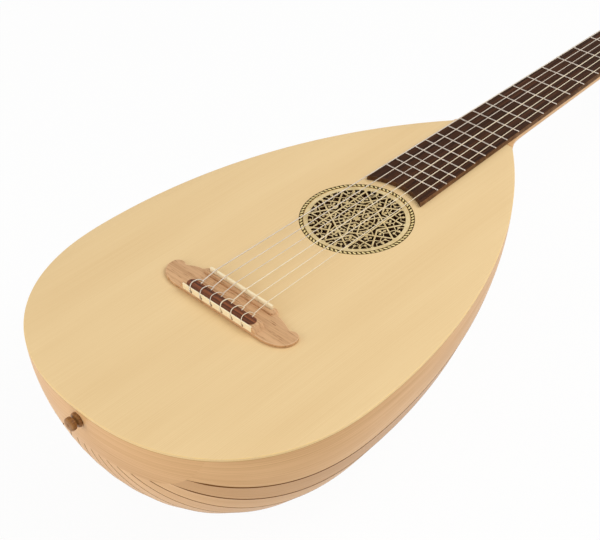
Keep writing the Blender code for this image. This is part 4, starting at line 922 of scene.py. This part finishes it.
# %% [markdown]
# ## The neck
# The neck is maple. Its section is a D: flat under the fingerboard, and round where the hand holds it. Near
# the body it swells into the heel, which is 35 mm deep. So its rows are D's whose width and depth change
# along Y: the swell falls off as exp(-(distance / 9 mm) ** 1.4).

# %% The neck
neck_start, neck_end, heel_run, heel_deep = 0.3253, 0.6560, 0.009, 0.0345
share = np.linspace(0, 1, 80)[:, None] ** 1.6
y = neck_start + (neck_end - neck_start) * share
swell = np.exp(-(((y - neck_start) / heel_run) ** 1.4))
depth = 0.0210 + (0.0160 - 0.0210) * share
depth = depth + (heel_deep - depth) * swell
half = board_half(np.minimum(y, scale_length))
half = half + (neck_half - half) * swell
turn = np.linspace(0, np.pi, 49)
c, s = np.cos(turn), np.sin(turn)
flat = 2 / (1.75 + 0.45 * swell)
rows = points_of(half * np.sign(c) * np.abs(c) ** flat, y, -depth * s**flat)
piece("neck", [shell_of(rows)], maple, "maple")

# %% [markdown]
# ## Flat pieces with round edges
# Bridge, head and tuner plates start as outlines with a thickness. Each outline is worked out with numpy,
# and a bevel rounds the edges, because a real edge always catches some light. An opening whose rim is round
# too is cut before the bevel, and a drilled hole after it.


# %% Outlines with a thickness
def prism(outline, low, high):
    """An outline of (x, y) between two heights."""
    return shell_of([points_of(*np.transpose(outline), z) for z in (low, high)])


def side_prism(shape, first, last):
    """A shape of (y, z) between two places along X."""
    return shell_of([points_of(x, *np.transpose(shape)) for x in (first, last)])


def box(x, y, z):
    """A box between two places along each axis."""
    return prism([(x[0], y[0]), (x[1], y[0]), (x[1], y[1]), (x[0], y[1])], *z)


def rod(start, end, radius, sides=24):
    """A round rod between two points."""
    start, end = np.array(start, float), np.array(end, float)
    aim = unit(end - start)
    side = unit(np.cross(aim, (0.3, 0.5, 0.8)))
    turn = turns(sides)[:, None]
    circle = radius * (np.cos(turn) * side + np.sin(turn) * np.cross(aim, side))
    return shell_of([start + circle, end + circle])


# %% [markdown]
# ## The bridge
# A thin base with round wings is glued to the soundboard. The tie block at its rear has a hole for each
# string, and the ridge in front holds the saddle in a slot. The light strip on the block's rear edge keeps
# the strings from cutting into the wood. Base, block and ridge are one piece of wood on a real bridge. Here
# they are three shapes that overlap, because each has its own round edges. The grain of all three runs
# along X.

# %% The bridge's outline
notch_x, notch_y, shoulder_x, shoulder_y = 0.0612, -0.0069, 0.0470, -0.0012
angle = np.linspace(0, np.pi / 2, 26)[1:]
rear = points_of(0.0480 + 0.0253 * np.sin(angle) ** 0.92, -0.0130 - 0.0166 * np.cos(angle) ** 0.92)
angle = np.radians(np.linspace(6, 108, 12))
lobe = points_of(0.0663 + 0.0070 * np.cos(angle), -0.0122 + 0.0072 * np.sin(angle))
share = np.linspace(0, 1, 20)
grow = np.sin(np.pi / 2 * share)
ease = points_of(notch_x + (shoulder_x - notch_x) * share, notch_y + (shoulder_y - notch_y) * grow**1.2)
corner = points_of(shoulder_x - 0.0055 * share, shoulder_y + 0.0050 * grow**1.5)[1::3]
bridge_edge = both_sides(np.concatenate([rear, lobe, ease, corner]))
treble = (bridge_edge[:, 0] > 0.036) & (bridge_edge[:, 0] < notch_x)
drawn_in = np.clip((bridge_edge[:, 1] - notch_y) / (shoulder_y - notch_y), 0, 1)
bridge_edge[:, 0] -= 0.0045 * treble * drawn_in
piece("bridge", [prism(bridge_edge, 0.0003, 0.0034)], bridge_wood, "bridge_wood", bevel=0.0008, along="X")

# %% The tie block and the ridge
tie_rear, tie_front, tie_top, hole_height, base_top = -0.0291, -0.0181, 0.0085, 0.0047, 0.0026
string_x = (3.5 - np.arange(1, 7)) * 0.0120


def tie_holes(front):
    """The six holes for the strings, from behind the tie block to a place in front."""
    return [rod((x, tie_rear - 0.002, hole_height), (x, front, hole_height), 0.0014) for x in string_x]


block = [points_of((-h, h, h, -h), (tie_rear, tie_rear, tie_front, tie_front), z)
         for h, z in ((0.0452, base_top), (0.0412, tie_top))]
piece("tie_block", [shell_of(block)], bridge_wood, "bridge_wood", bevel=0.0005, along="X",
      holes=tie_holes(tie_front + 0.002))
ridge_middle, bass_end, treble_end, ridge_ease = -0.0006, -0.0425, 0.0395, 0.0042
turn = np.linspace(0, np.pi, 19)
bulk = points_of(0.0040 * np.cos(turn), 0.0010 + 0.0026 * np.sin(turn) ** 0.75)
bulk = np.concatenate([[(0.0040, 0.0)], bulk, [(-0.0040, 0.0)]])
share = 1 - np.cos(np.linspace(0, np.pi / 2, 9))
x = np.concatenate([bass_end + ridge_ease * share, treble_end - ridge_ease * share[::-1]])[:, None]
rise = np.sqrt(np.clip(1 - (1 - share) ** 2, 0.02, 1))
rise = np.concatenate([rise, rise[::-1]])[:, None]
rows = points_of(x, ridge_middle + bulk[:, 0] * (0.35 + 0.65 * rise), base_top + bulk[:, 1] * rise)
slot_cut = box((-0.0375, 0.0355), (-0.0016, 0.0056), (0.0022, 0.009))
piece("ridge", [shell_of(rows)], bridge_wood, "bridge_wood", along="X", holes=[slot_cut])

# %% The strip and the inlay of the tie block, and the saddle
strip = box((-0.0402, 0.0402), (tie_rear - 0.0003, tie_rear + 0.0009), (0.0033, tie_top + 0.0002))
piece("tie_strip", [strip], bone, "bone", bevel=0.0002, holes=tie_holes(tie_front))
turn = np.radians(np.linspace(-90, 90, 19))
half_long, half_wide, middle = 0.0390, 0.0047, (tie_rear + tie_front) / 2 + 0.0001
stadium = both_sides((half_long - half_wide, middle) + half_wide * points_of(np.cos(turn), np.sin(turn)))
piece("tie_block_inlay", [prism(stadium, 0.0070, tie_top + 0.0003)], inlay_wood, "rosewood", bevel=0.0002,
      along="X")
saddle_half, saddle_top = 0.0013, 0.0085
turn = np.linspace(0, np.pi, 13)
crest = points_of(saddle_half * np.cos(turn), saddle_top + saddle_half * np.sin(turn))
shape = np.concatenate([[(saddle_half, 0.0025)], crest, [(-saddle_half, 0.0025)]])
piece("saddle", [side_prism(shape, -0.0372, 0.0352)], bone, "bone", bevel=0.0004)

# %% [markdown]
# ## The head's own frame
# The head leans back by 15 degrees from the end of the nut. What belongs to it is worked out in its own
# frame, with Y along the head and Z out of its face, and then turned about X.

# %% From the head's frame to the part's frame, and back
head_tilt = np.radians(15.0)
tilt_cos, tilt_sin = np.cos(head_tilt), np.sin(head_tilt)


def on_head(points):
    """Points of the head's frame in the part's frame."""
    x, y, z = np.moveaxis(np.asarray(points, float), -1, 0)
    return points_of(x, neck_end + tilt_cos * y + tilt_sin * z, tilt_cos * z - tilt_sin * y)


def to_head(point):
    """A point of the part's frame in the head's frame."""
    x, y, z = point[0], point[1] - neck_end, point[2]
    return np.array([x, tilt_cos * y - tilt_sin * z, tilt_sin * y + tilt_cos * z])


def headwards(shell):
    """A shell made in the head's frame, in the part's frame. Its grain, or else its place there, is kept."""
    return np.concatenate([on_head(shell[0][:, :3]), shell[0][:, -3:]], axis=1), shell[1]


def head_piece(name, shells, finish, slot, holes=(), **how):
    """A piece whose shells and holes are made in the head's frame."""
    holes = [headwards(hole) for hole in holes]
    piece(name, [headwards(shell) for shell in shells], finish, slot, holes=holes, **how)


# %% The nut
nut_x = (3.5 - np.arange(1, 7)) * 0.0078
string_radius = np.array((0.00072, 0.00082, 0.00102, 0.00076, 0.00090, 0.00110)) / 2
bend_y, bend_z = 0.6515, 0.0067
slot_front, slot_back, slot_top, fall = 0.648, 0.658, 0.012, np.tan(np.radians(27))
slots = []
for x, r in zip(nut_x, string_radius):
    floor_z = bend_z - r - 0.0002
    shape = [(slot_front, floor_z), (bend_y, floor_z), (slot_back, floor_z - fall * (slot_back - bend_y)),
             (slot_back, slot_top), (slot_front, slot_top)]
    slots.append(side_prism(shape, x - r - 0.0002, x + r + 0.0002))
shape = [(0.6500, 0.0003), (0.6557, 0.0003), (0.6557, 0.0054), (0.6524, 0.0072), (0.6500, 0.0072)]
piece("nut", [side_prism(shape, -nut_half, nut_half)], bone, "bone", bevel=0.00035, holes=slots)

# %% [markdown]
# ## The strings
# Each string is tied at the bridge: through its hole, up over the block, round itself, and under its own
# loop. Then it runs straight over saddle and nut to its roller. The loop is a smooth curve through a few
# points. Its section is a circle carried along that curve.


# %% A smooth curve, and a tube along it
def smooth(points, steps=6):
    """A curve through the points whose direction at each is that from the point before to the one after."""
    p = np.asarray(points, float)
    p = np.concatenate([2 * p[:1] - p[1:2], p, 2 * p[-1:] - p[-2:-1]])
    s = np.linspace(0, 1, steps, endpoint=False)[None, :, None]
    a, b, c, d = (p[i:len(p) - 3 + i, None] for i in range(4))
    curve = 0.5 * (2 * b + (c - a) * s + (2 * a - 5 * b + 4 * c - d) * s**2 + (3 * b - a - 3 * c + d) * s**3)
    return np.concatenate([curve.reshape(-1, 3), p[-2:-1]])


def tube(path, radius):
    """A circle carried along a path that never runs along X."""
    loop = radius * points_of(np.cos(turns(12)), np.sin(turns(12)))
    return shell_of(swept(path, np.broadcast_to((1.0, 0.0, 0.0), path.shape), loop))


# %% The strings
roller_places = {1: 0.046, 2: 0.085, 3: 0.124, 4: 0.124, 5: 0.085, 6: 0.046}
winding_x = {1: 0.0195, 2: 0.0155, 3: 0.0160, 4: -0.0160, 5: -0.0155, 6: -0.0195}
axis_z, roller_radius, saddle_line = -0.0095, 0.0050, 0.01065


def string_touch(number):
    """Where a string meets its roller in the head's frame: the middle line's radius, the angle, the point,
    and the place at the nut that it comes from."""
    reach = (roller_radius + 0.0003 + string_radius[number - 1]) * (2 - np.cos(np.pi / 12))
    bend = to_head((nut_x[number - 1], bend_y, bend_z))
    y = roller_places[number]
    away = np.array([bend[1] - y, bend[2] - axis_z])
    angle = np.arctan2(away[1], away[0]) - np.arccos(reach / np.hypot(*away))
    point = np.array([winding_x[number], y + reach * np.cos(angle), axis_z + reach * np.sin(angle)])
    return reach, angle, point, bend


for number in range(1, 7):
    x, r = string_x[number - 1], string_radius[number - 1]
    over, behind = (tie_top + 0.0005 + r) * 1000, (tie_rear - 0.0005 - r) * 1000
    through = hole_height * 1000
    knot = [(2.6, -20.2, over), (2.2, -18.2, over), (1.3, -16.0, 8.4), (-0.2, -15.0, 7.3), (-1.7, -15.8, 8.0),
            (-2.9, -17.8, 9.4), (-3.9, -20.6, over), (-4.1, -23.6, over), (-3.1, -26.4, over),
            (-1.6, -28.4, over), (-0.8, behind, 8.0), (-0.2, behind, 6.2), (0.0, -29.7, 4.9),
            (0.0, -27.9, through), (0.0, -19.0, through), (0.0, -17.2, 5.2), (0.0, -16.4, 6.8),
            (0.0, -15.5, 8.3)]
    loop = smooth(np.array(knot) * 0.001 + (x, 0, 0))
    nut_point, saddle_point = np.array([nut_x[number - 1], bend_y, bend_z]), np.array([x, 0.0, saddle_line])
    last = on_head(string_touch(number)[2])
    last = last + unit(nut_point - last) * (0.0003 + 2 * r)
    run, rise = nut_point - saddle_point, loop[-1] - saddle_point
    bends = [saddle_point + rise * 0.7, saddle_point + rise * 0.06, saddle_point, saddle_point + run * 0.002,
             nut_point - run * 0.002, nut_point, nut_point + (last - nut_point) * 0.04, last]
    piece(f"string_{number}", [tube(np.concatenate([loop, bends]), r)], *string_finish[number - 1])

# %% [markdown]
# ## The strings on the rollers
# Behind the nut a string goes down into the slot, meets its roller at a tangent and winds round it in a
# helix: angle and X change together. These turns ride on the roller, so they turn with it.

# %% The windings
wound_turns, gap = 27 / 12, 0.0006
for number in range(1, 7):
    r = string_radius[number - 1]
    reach, angle, point, bend = string_touch(number)
    share = np.linspace(0, wound_turns, 109)
    around = angle - 2 * np.pi * share
    helix = points_of(point[0] + np.copysign(2 * r + gap, point[0]) * share,
                      roller_places[number] + reach * np.cos(around), axis_z + reach * np.sin(around))
    start = point + unit(bend - point) * 2 * r
    winding = tube(np.concatenate([[start], helix]), r)
    head_piece(f"winding_{number}", [winding], *string_finish[number - 1], body=f"roller_{number}")

# %% [markdown]
# ## The head
# A slotted head is a flat block of maple with two long slots. The strings go down into the slots to rollers
# that lie across them, and each roller turns in a bore through the cheek and in a seat in the middle bar.
# The head is a prism whose slots are cut first, so the bevel rounds their rims too, and whose bores are
# drilled last.

# %% The head's outline
head_half, head_flare, head_straight, head_length, head_thick = 0.037, 0.020, 0.152, 0.172, 0.018
share = np.linspace(0, 1, 24)
flare = points_of(nut_half + (head_half - nut_half) * (1 - np.cos(np.pi * share)) / 2, head_flare * share)
turn = np.linspace(0, np.pi / 2, 28)[:-1]
crest = points_of(head_half * np.cos(turn) ** 0.6,
                  head_straight + (head_length - head_straight) * np.sin(turn) ** 0.9)
head_edge = both_sides(np.concatenate([flare, crest, [(0.0, head_length)]]), 1)
tuners = [(number, 1 if number <= 3 else -1, y) for number, y in roller_places.items()]


def long_slot(side):
    """A slot with round ends, from 16 to 146 mm along the head."""
    radius, middle, turn = 0.0080, side * 0.0170, np.linspace(0, np.pi, 17)
    arc = radius * points_of(np.cos(turn), np.sin(turn))
    points = np.concatenate([(middle, 0.146 - radius) + arc, (middle, 0.016 + radius) - arc])
    return headwards(prism(points, -head_thick - 0.002, 0.002))


def cross_bore(y, side, radius, first, last):
    """A round bore along X in the head's frame."""
    return rod((side * first, y, axis_z), (side * last, y, axis_z), radius, 40)


# %% The head
before_nut = box((-0.05, 0.05), (0.620, neck_end + 0.0003), (-0.06, 0.03))
bores = [cross_bore(y, side, 0.0053, 0.0042, 0.039) for _, side, y in tuners]
head_piece("head", [prism(head_edge, -head_thick, 0)], maple, "maple", bevel=0.0009,
           openings=[before_nut, long_slot(1), long_slot(-1)], holes=bores)

# %% [markdown]
# ## The tuner plates
# Each side of the head has a thin nickel plate that holds three tuners. A worm stands in two lugs of the
# plate and its knob is below. The worm turns the gear on the end of the roller: 14 turns of the knob for
# one turn of the roller. Plate, lugs and screws are separate shapes here, all fixed together.

# %% Plates and lugs
plate_in, plate_out, plate_low, plate_high = 0.0373, 0.0385, -0.0178, -0.0012
plate_start, plate_end, plate_corner = 0.0335, 0.1450, 0.0040
worm_x, worm_ahead, lug_half, lug_thick = 0.0426, 0.0085, 0.0036, 0.0020
quarter = plate_corner * points_of(np.cos(turns(32)[:9]), np.sin(turns(32)[:9]))
left, right = plate_start + plate_corner, plate_end - plate_corner
below, above = plate_low + plate_corner, plate_high - plate_corner
plate_edge = np.concatenate([(right, above) + quarter, (left, above) + quarter[::-1] * (-1, 1),
                             (left, below) - quarter, (right, below) + quarter[::-1] * (1, -1)])
for side, name in ((1, "treble"), (-1, "bass")):
    places = [y for _, own_side, y in tuners if own_side == side]
    bores = [cross_bore(y, side, 0.00245, 0.036, 0.040) for y in places]
    head_piece(f"{name}_tuner_plate", [side_prism(plate_edge, side * plate_in, side * plate_out)], nickel,
               "nickel", bevel=0.0002, holes=bores)
    lugs, bores = [], []
    for middle in np.array(places) + worm_ahead:
        turn = np.linspace(-np.pi / 2, np.pi / 2, 13)
        nose = points_of(side * (worm_x + lug_half * np.cos(turn)), middle + lug_half * np.sin(turn))
        foot = side * (plate_out - 0.0004)
        shape = np.concatenate([[(foot, middle - lug_half)], nose, [(foot, middle + lug_half)]])
        lugs += [prism(shape, low, low + lug_thick) for low in (plate_low, plate_high - lug_thick)]
        bores.append(rod((side * worm_x, middle, -0.03), (side * worm_x, middle, 0.01), 0.00178))
    head_piece(f"{name}_lugs", lugs, nickel, "nickel", bevel=0.00025, holes=bores)


# %% A profile turned about an axis
def lathe(profile, place, aim, sides=40):
    """Radius and height pairs turned about the direction aim, from a place."""
    aim = unit(np.array(aim, float))
    one = unit(np.cross(aim, (0.0, 0.6, 0.8) if abs(aim[0]) > 0.5 else (1.0, 0.0, 0.0)))
    turn = turns(sides)[None, :, None]
    radius, height = np.array(profile, float).T[..., None, None]
    return shell_of(np.array(place) + height * aim
                    + radius * (np.cos(turn) * one + np.sin(turn) * np.cross(aim, one)))


def screw_with_slot(side, y, z, foot, radius, height, slot):
    """A round screw head on a face that looks along X, and the cutter of its slot. slot gives the slot's
    width, its length and the height of its bottom."""
    profile = [(radius, -0.0002), (radius, height * 0.2)]
    profile += [(radius * (0.25 + 0.75 * np.cos(a)), height * (0.25 + 0.75 * np.sin(a)))
                for a in np.linspace(0, np.pi / 2, 7)]
    profile += [(radius * 0.02, height)]
    wide, long, bottom = slot
    cutter = box((side * (foot + bottom), side * (foot + 0.003)), (y - wide / 2, y + wide / 2),
                 (z - long / 2, z + long / 2))
    return lathe(profile, (side * foot, y, z), (side, 0, 0), 28), cutter


for side, name in ((1, "treble"), (-1, "bass")):
    screws = [screw_with_slot(side, y, axis_z, plate_out, 0.0020, 0.0009, (0.00044, 0.0060, 0.0004))
              for y in (0.0375, 0.0700, 0.1090, 0.1410)]
    heads, cuts = zip(*screws)
    head_piece(f"{name}_plate_screws", heads, nickel, "nickel", holes=cuts)

# %% [markdown]
# ## The rollers
# A roller is white plastic with a metal axle, and the gear sits on the end of the axle with a screw on it.
# The gear is round but for its teeth: its radius is a function of the angle. The teeth lean with the worm's
# thread, so the whole outline turns a little from one face of the gear to the other.

# %% The gear
gear_teeth, gear_width, pitch_radius, worm_pitch, tooth_share = 14, 0.0050, 0.0055, 0.0030, 0.38
thread_lead = 2 * np.pi * pitch_radius / gear_teeth


def gear(side, y):
    """A gear outline at some places along X. Each tooth is a trapeze, as a share of the pitch."""
    foot, tip = tooth_share * 1.35 / 2, tooth_share * 0.62 / 2
    root, outer = pitch_radius - 0.0012, pitch_radius + 0.0008
    rising = [(-foot, root), (-(foot + tip) / 2, (root + outer) / 2), (-tip, outer - 0.0001),
              (-tip * 0.6, outer)]
    share, radius = both_sides(np.array(rising)).T
    angle = (np.pi / 2 + 2 * np.pi / gear_teeth * (np.arange(gear_teeth)[:, None] + 0.5 + share)).ravel()
    along = np.array([-0.5, -0.44, -0.2, 0.2, 0.44, 0.5])[:, None]
    radius = np.array([0.94, 1, 1, 1, 1, 0.94])[:, None] * np.tile(radius, gear_teeth)
    angle = angle + side * along * gear_width * thread_lead / (2 * np.pi * worm_pitch) / pitch_radius
    return shell_of(points_of(side * (worm_x + along * gear_width), y + radius * np.sin(angle),
                              axis_z - radius * np.cos(angle)))


# %% The rollers
r, gear_top = roller_radius, worm_x + gear_width / 2
barrel = [(r - 0.0006, 0.0045), (r - 0.0001, 0.0047), (r, 0.0052), (r, 0.0362), (r - 0.0001, 0.0366),
          (r - 0.0006, 0.0367)]
for number, side, y in tuners:
    at, out, body = (0.0, y, axis_z), (side, 0, 0), f"roller_{number}"
    head_piece(body, [lathe(barrel, at, out, 48)], white_plastic, "white_roller", body=body)
    axle = lathe([(0.0022, 0.0360), (0.0022, 0.0430)], at, out, 32)
    head_piece(f"gear_{number}", [axle, gear(side, y)], nickel, "nickel", body=body)
    screw, cut = screw_with_slot(side, y, axis_z, gear_top, 0.0032, 0.0014, (0.0006, 0.008, 0.0007))
    head_piece(f"gear_screw_{number}", [screw], nickel, "nickel", body=body, holes=[cut])

# %% [markdown]
# ## The worms and the knobs
# A worm is a screw. Its radius depends on where you are along the axis and on the angle, only through their
# difference: height minus lead times turns. So one grid in height and angle makes the whole thread, and a
# window fades it out at both ends. The knob is an oval that swells and closes, in pearly plastic.


# %% The worm's thread
def worm():
    """Root cylinder and thread in one grid round the worm's middle. A crest faces -Y there."""
    root, outer = 0.0018, 0.0038
    ends = np.array([0.0060, 0.00601])
    height = np.concatenate([-ends[::-1], np.linspace(-0.0047, 0.0047, 95), ends])[:, None]
    turn = turns(36)
    phase = height / thread_lead - (turn + np.pi / 2) / (2 * np.pi)
    off = np.abs(phase - np.round(phase))
    flank = np.clip((tooth_share * 0.66 - off) / (tooth_share * 0.36), 0, 1)
    window = np.clip((0.0045 - np.abs(height)) / 0.0008, 0, 1)
    radius = root + (outer - root) * flank * window
    radius[[0, -1]] = shaft
    return points_of(radius * np.cos(turn), radius * np.sin(turn), height)


# %% The knob's shape
def knob():
    """An oval knob under the worm's middle: its width and thickness follow a smooth curve."""
    share = 0.5 - 0.5 * np.cos(np.linspace(0, np.pi, 33))
    swell = np.interp(share, (0, 0.04, 0.10, 0.28, 0.5, 0.72, 0.9, 0.96, 1),
                      (0.30, 0.46, 0.64, 0.92, 0.99, 0.92, 0.64, 0.46, 0.34))
    swell = np.convolve(np.pad(swell, 1, mode="edge"), (0.25, 0.5, 0.25), mode="valid")[:, None]
    c, s = np.cos(turns(40)), np.sin(turns(40))
    x = 0.0042 * (0.3 + 0.7 * swell) * np.sign(c) * np.abs(c) ** 0.9
    y = 0.0080 * swell * np.sign(s) * np.abs(s) ** 0.9
    return points_of(x, y, knob_top - 0.0140 * share[:, None])


# %% The worms and the knobs
shaft, knob_top = 0.0015, -0.0213
shaft_parts = [[(shaft, -0.0250), (shaft, -0.0059)], [(shaft, 0.0059), (shaft, 0.0080), (0.0012, 0.0083)],
               [(shaft, knob_top), (0.0026, -0.0211), (0.0027, -0.0196), (shaft, -0.0186)]]
for number, side, y in tuners:
    middle = np.array([side * worm_x, y + worm_ahead, axis_z])
    parts = [shell_of(middle + worm())] + [lathe(profile, middle, (0, 0, 1), 28) for profile in shaft_parts]
    head_piece(f"worm_{number}", parts, nickel, "nickel", body=f"worm_{number}")
    head_piece(f"knob_{number}", [shell_of(middle + knob())], pearl, "bone", body=f"worm_{number}")

# %% [markdown]
# ## The strap button
# The button at the tail is turned from dark wood: two flanges with a waist between them for the strap's
# hole, and a peg that is glued into the tail block. It is a profile turned about an axis along the guitar.

# %% The strap button
length, inner, outer, waist, peg = 0.0090, 0.0064, 0.0058, 0.0036, 0.0030
turned_shape = [(inner * 0.92, 0.0), (inner, 0.05), (inner, 0.13), (inner * 0.93, 0.25),
                (waist * 1.18, 0.31), (waist, 0.38), (waist * 1.02, 0.43), (outer * 0.80, 0.48),
                (outer * 0.97, 0.55), (outer, 0.66), (outer * 0.99, 0.88), (outer * 0.93, 0.96),
                (outer * 0.80, 1.0), (outer * 0.30, 1.0), (outer * 0.26, 0.97), (outer * 0.02, 0.97)]
profile = [(peg, -0.0150), (peg, 0.0)] + [(radius, length * share) for radius, share in turned_shape]
button_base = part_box("strap_button")[0][1] + length - lift[1]
button = lathe(profile, (0.0, button_base, -0.0120), (0, -1, 0), 48)
piece("strap_button", [button], button_wood, "button_wood")

# %% [markdown]
# ## Inside the body
# The blocks and the bars keep their CAD solids, because plain sawn wood is what they are. They only get a
# wood.

# %% Wood for the pieces inside
for name in ("tail_block", "neck_block", "cross_bar_1", "cross_bar_2", "cross_bar_3", "cross_bar_4"):
    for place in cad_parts[name].material_slots:
        place.material = block_wood
    print(name, "has its wood")
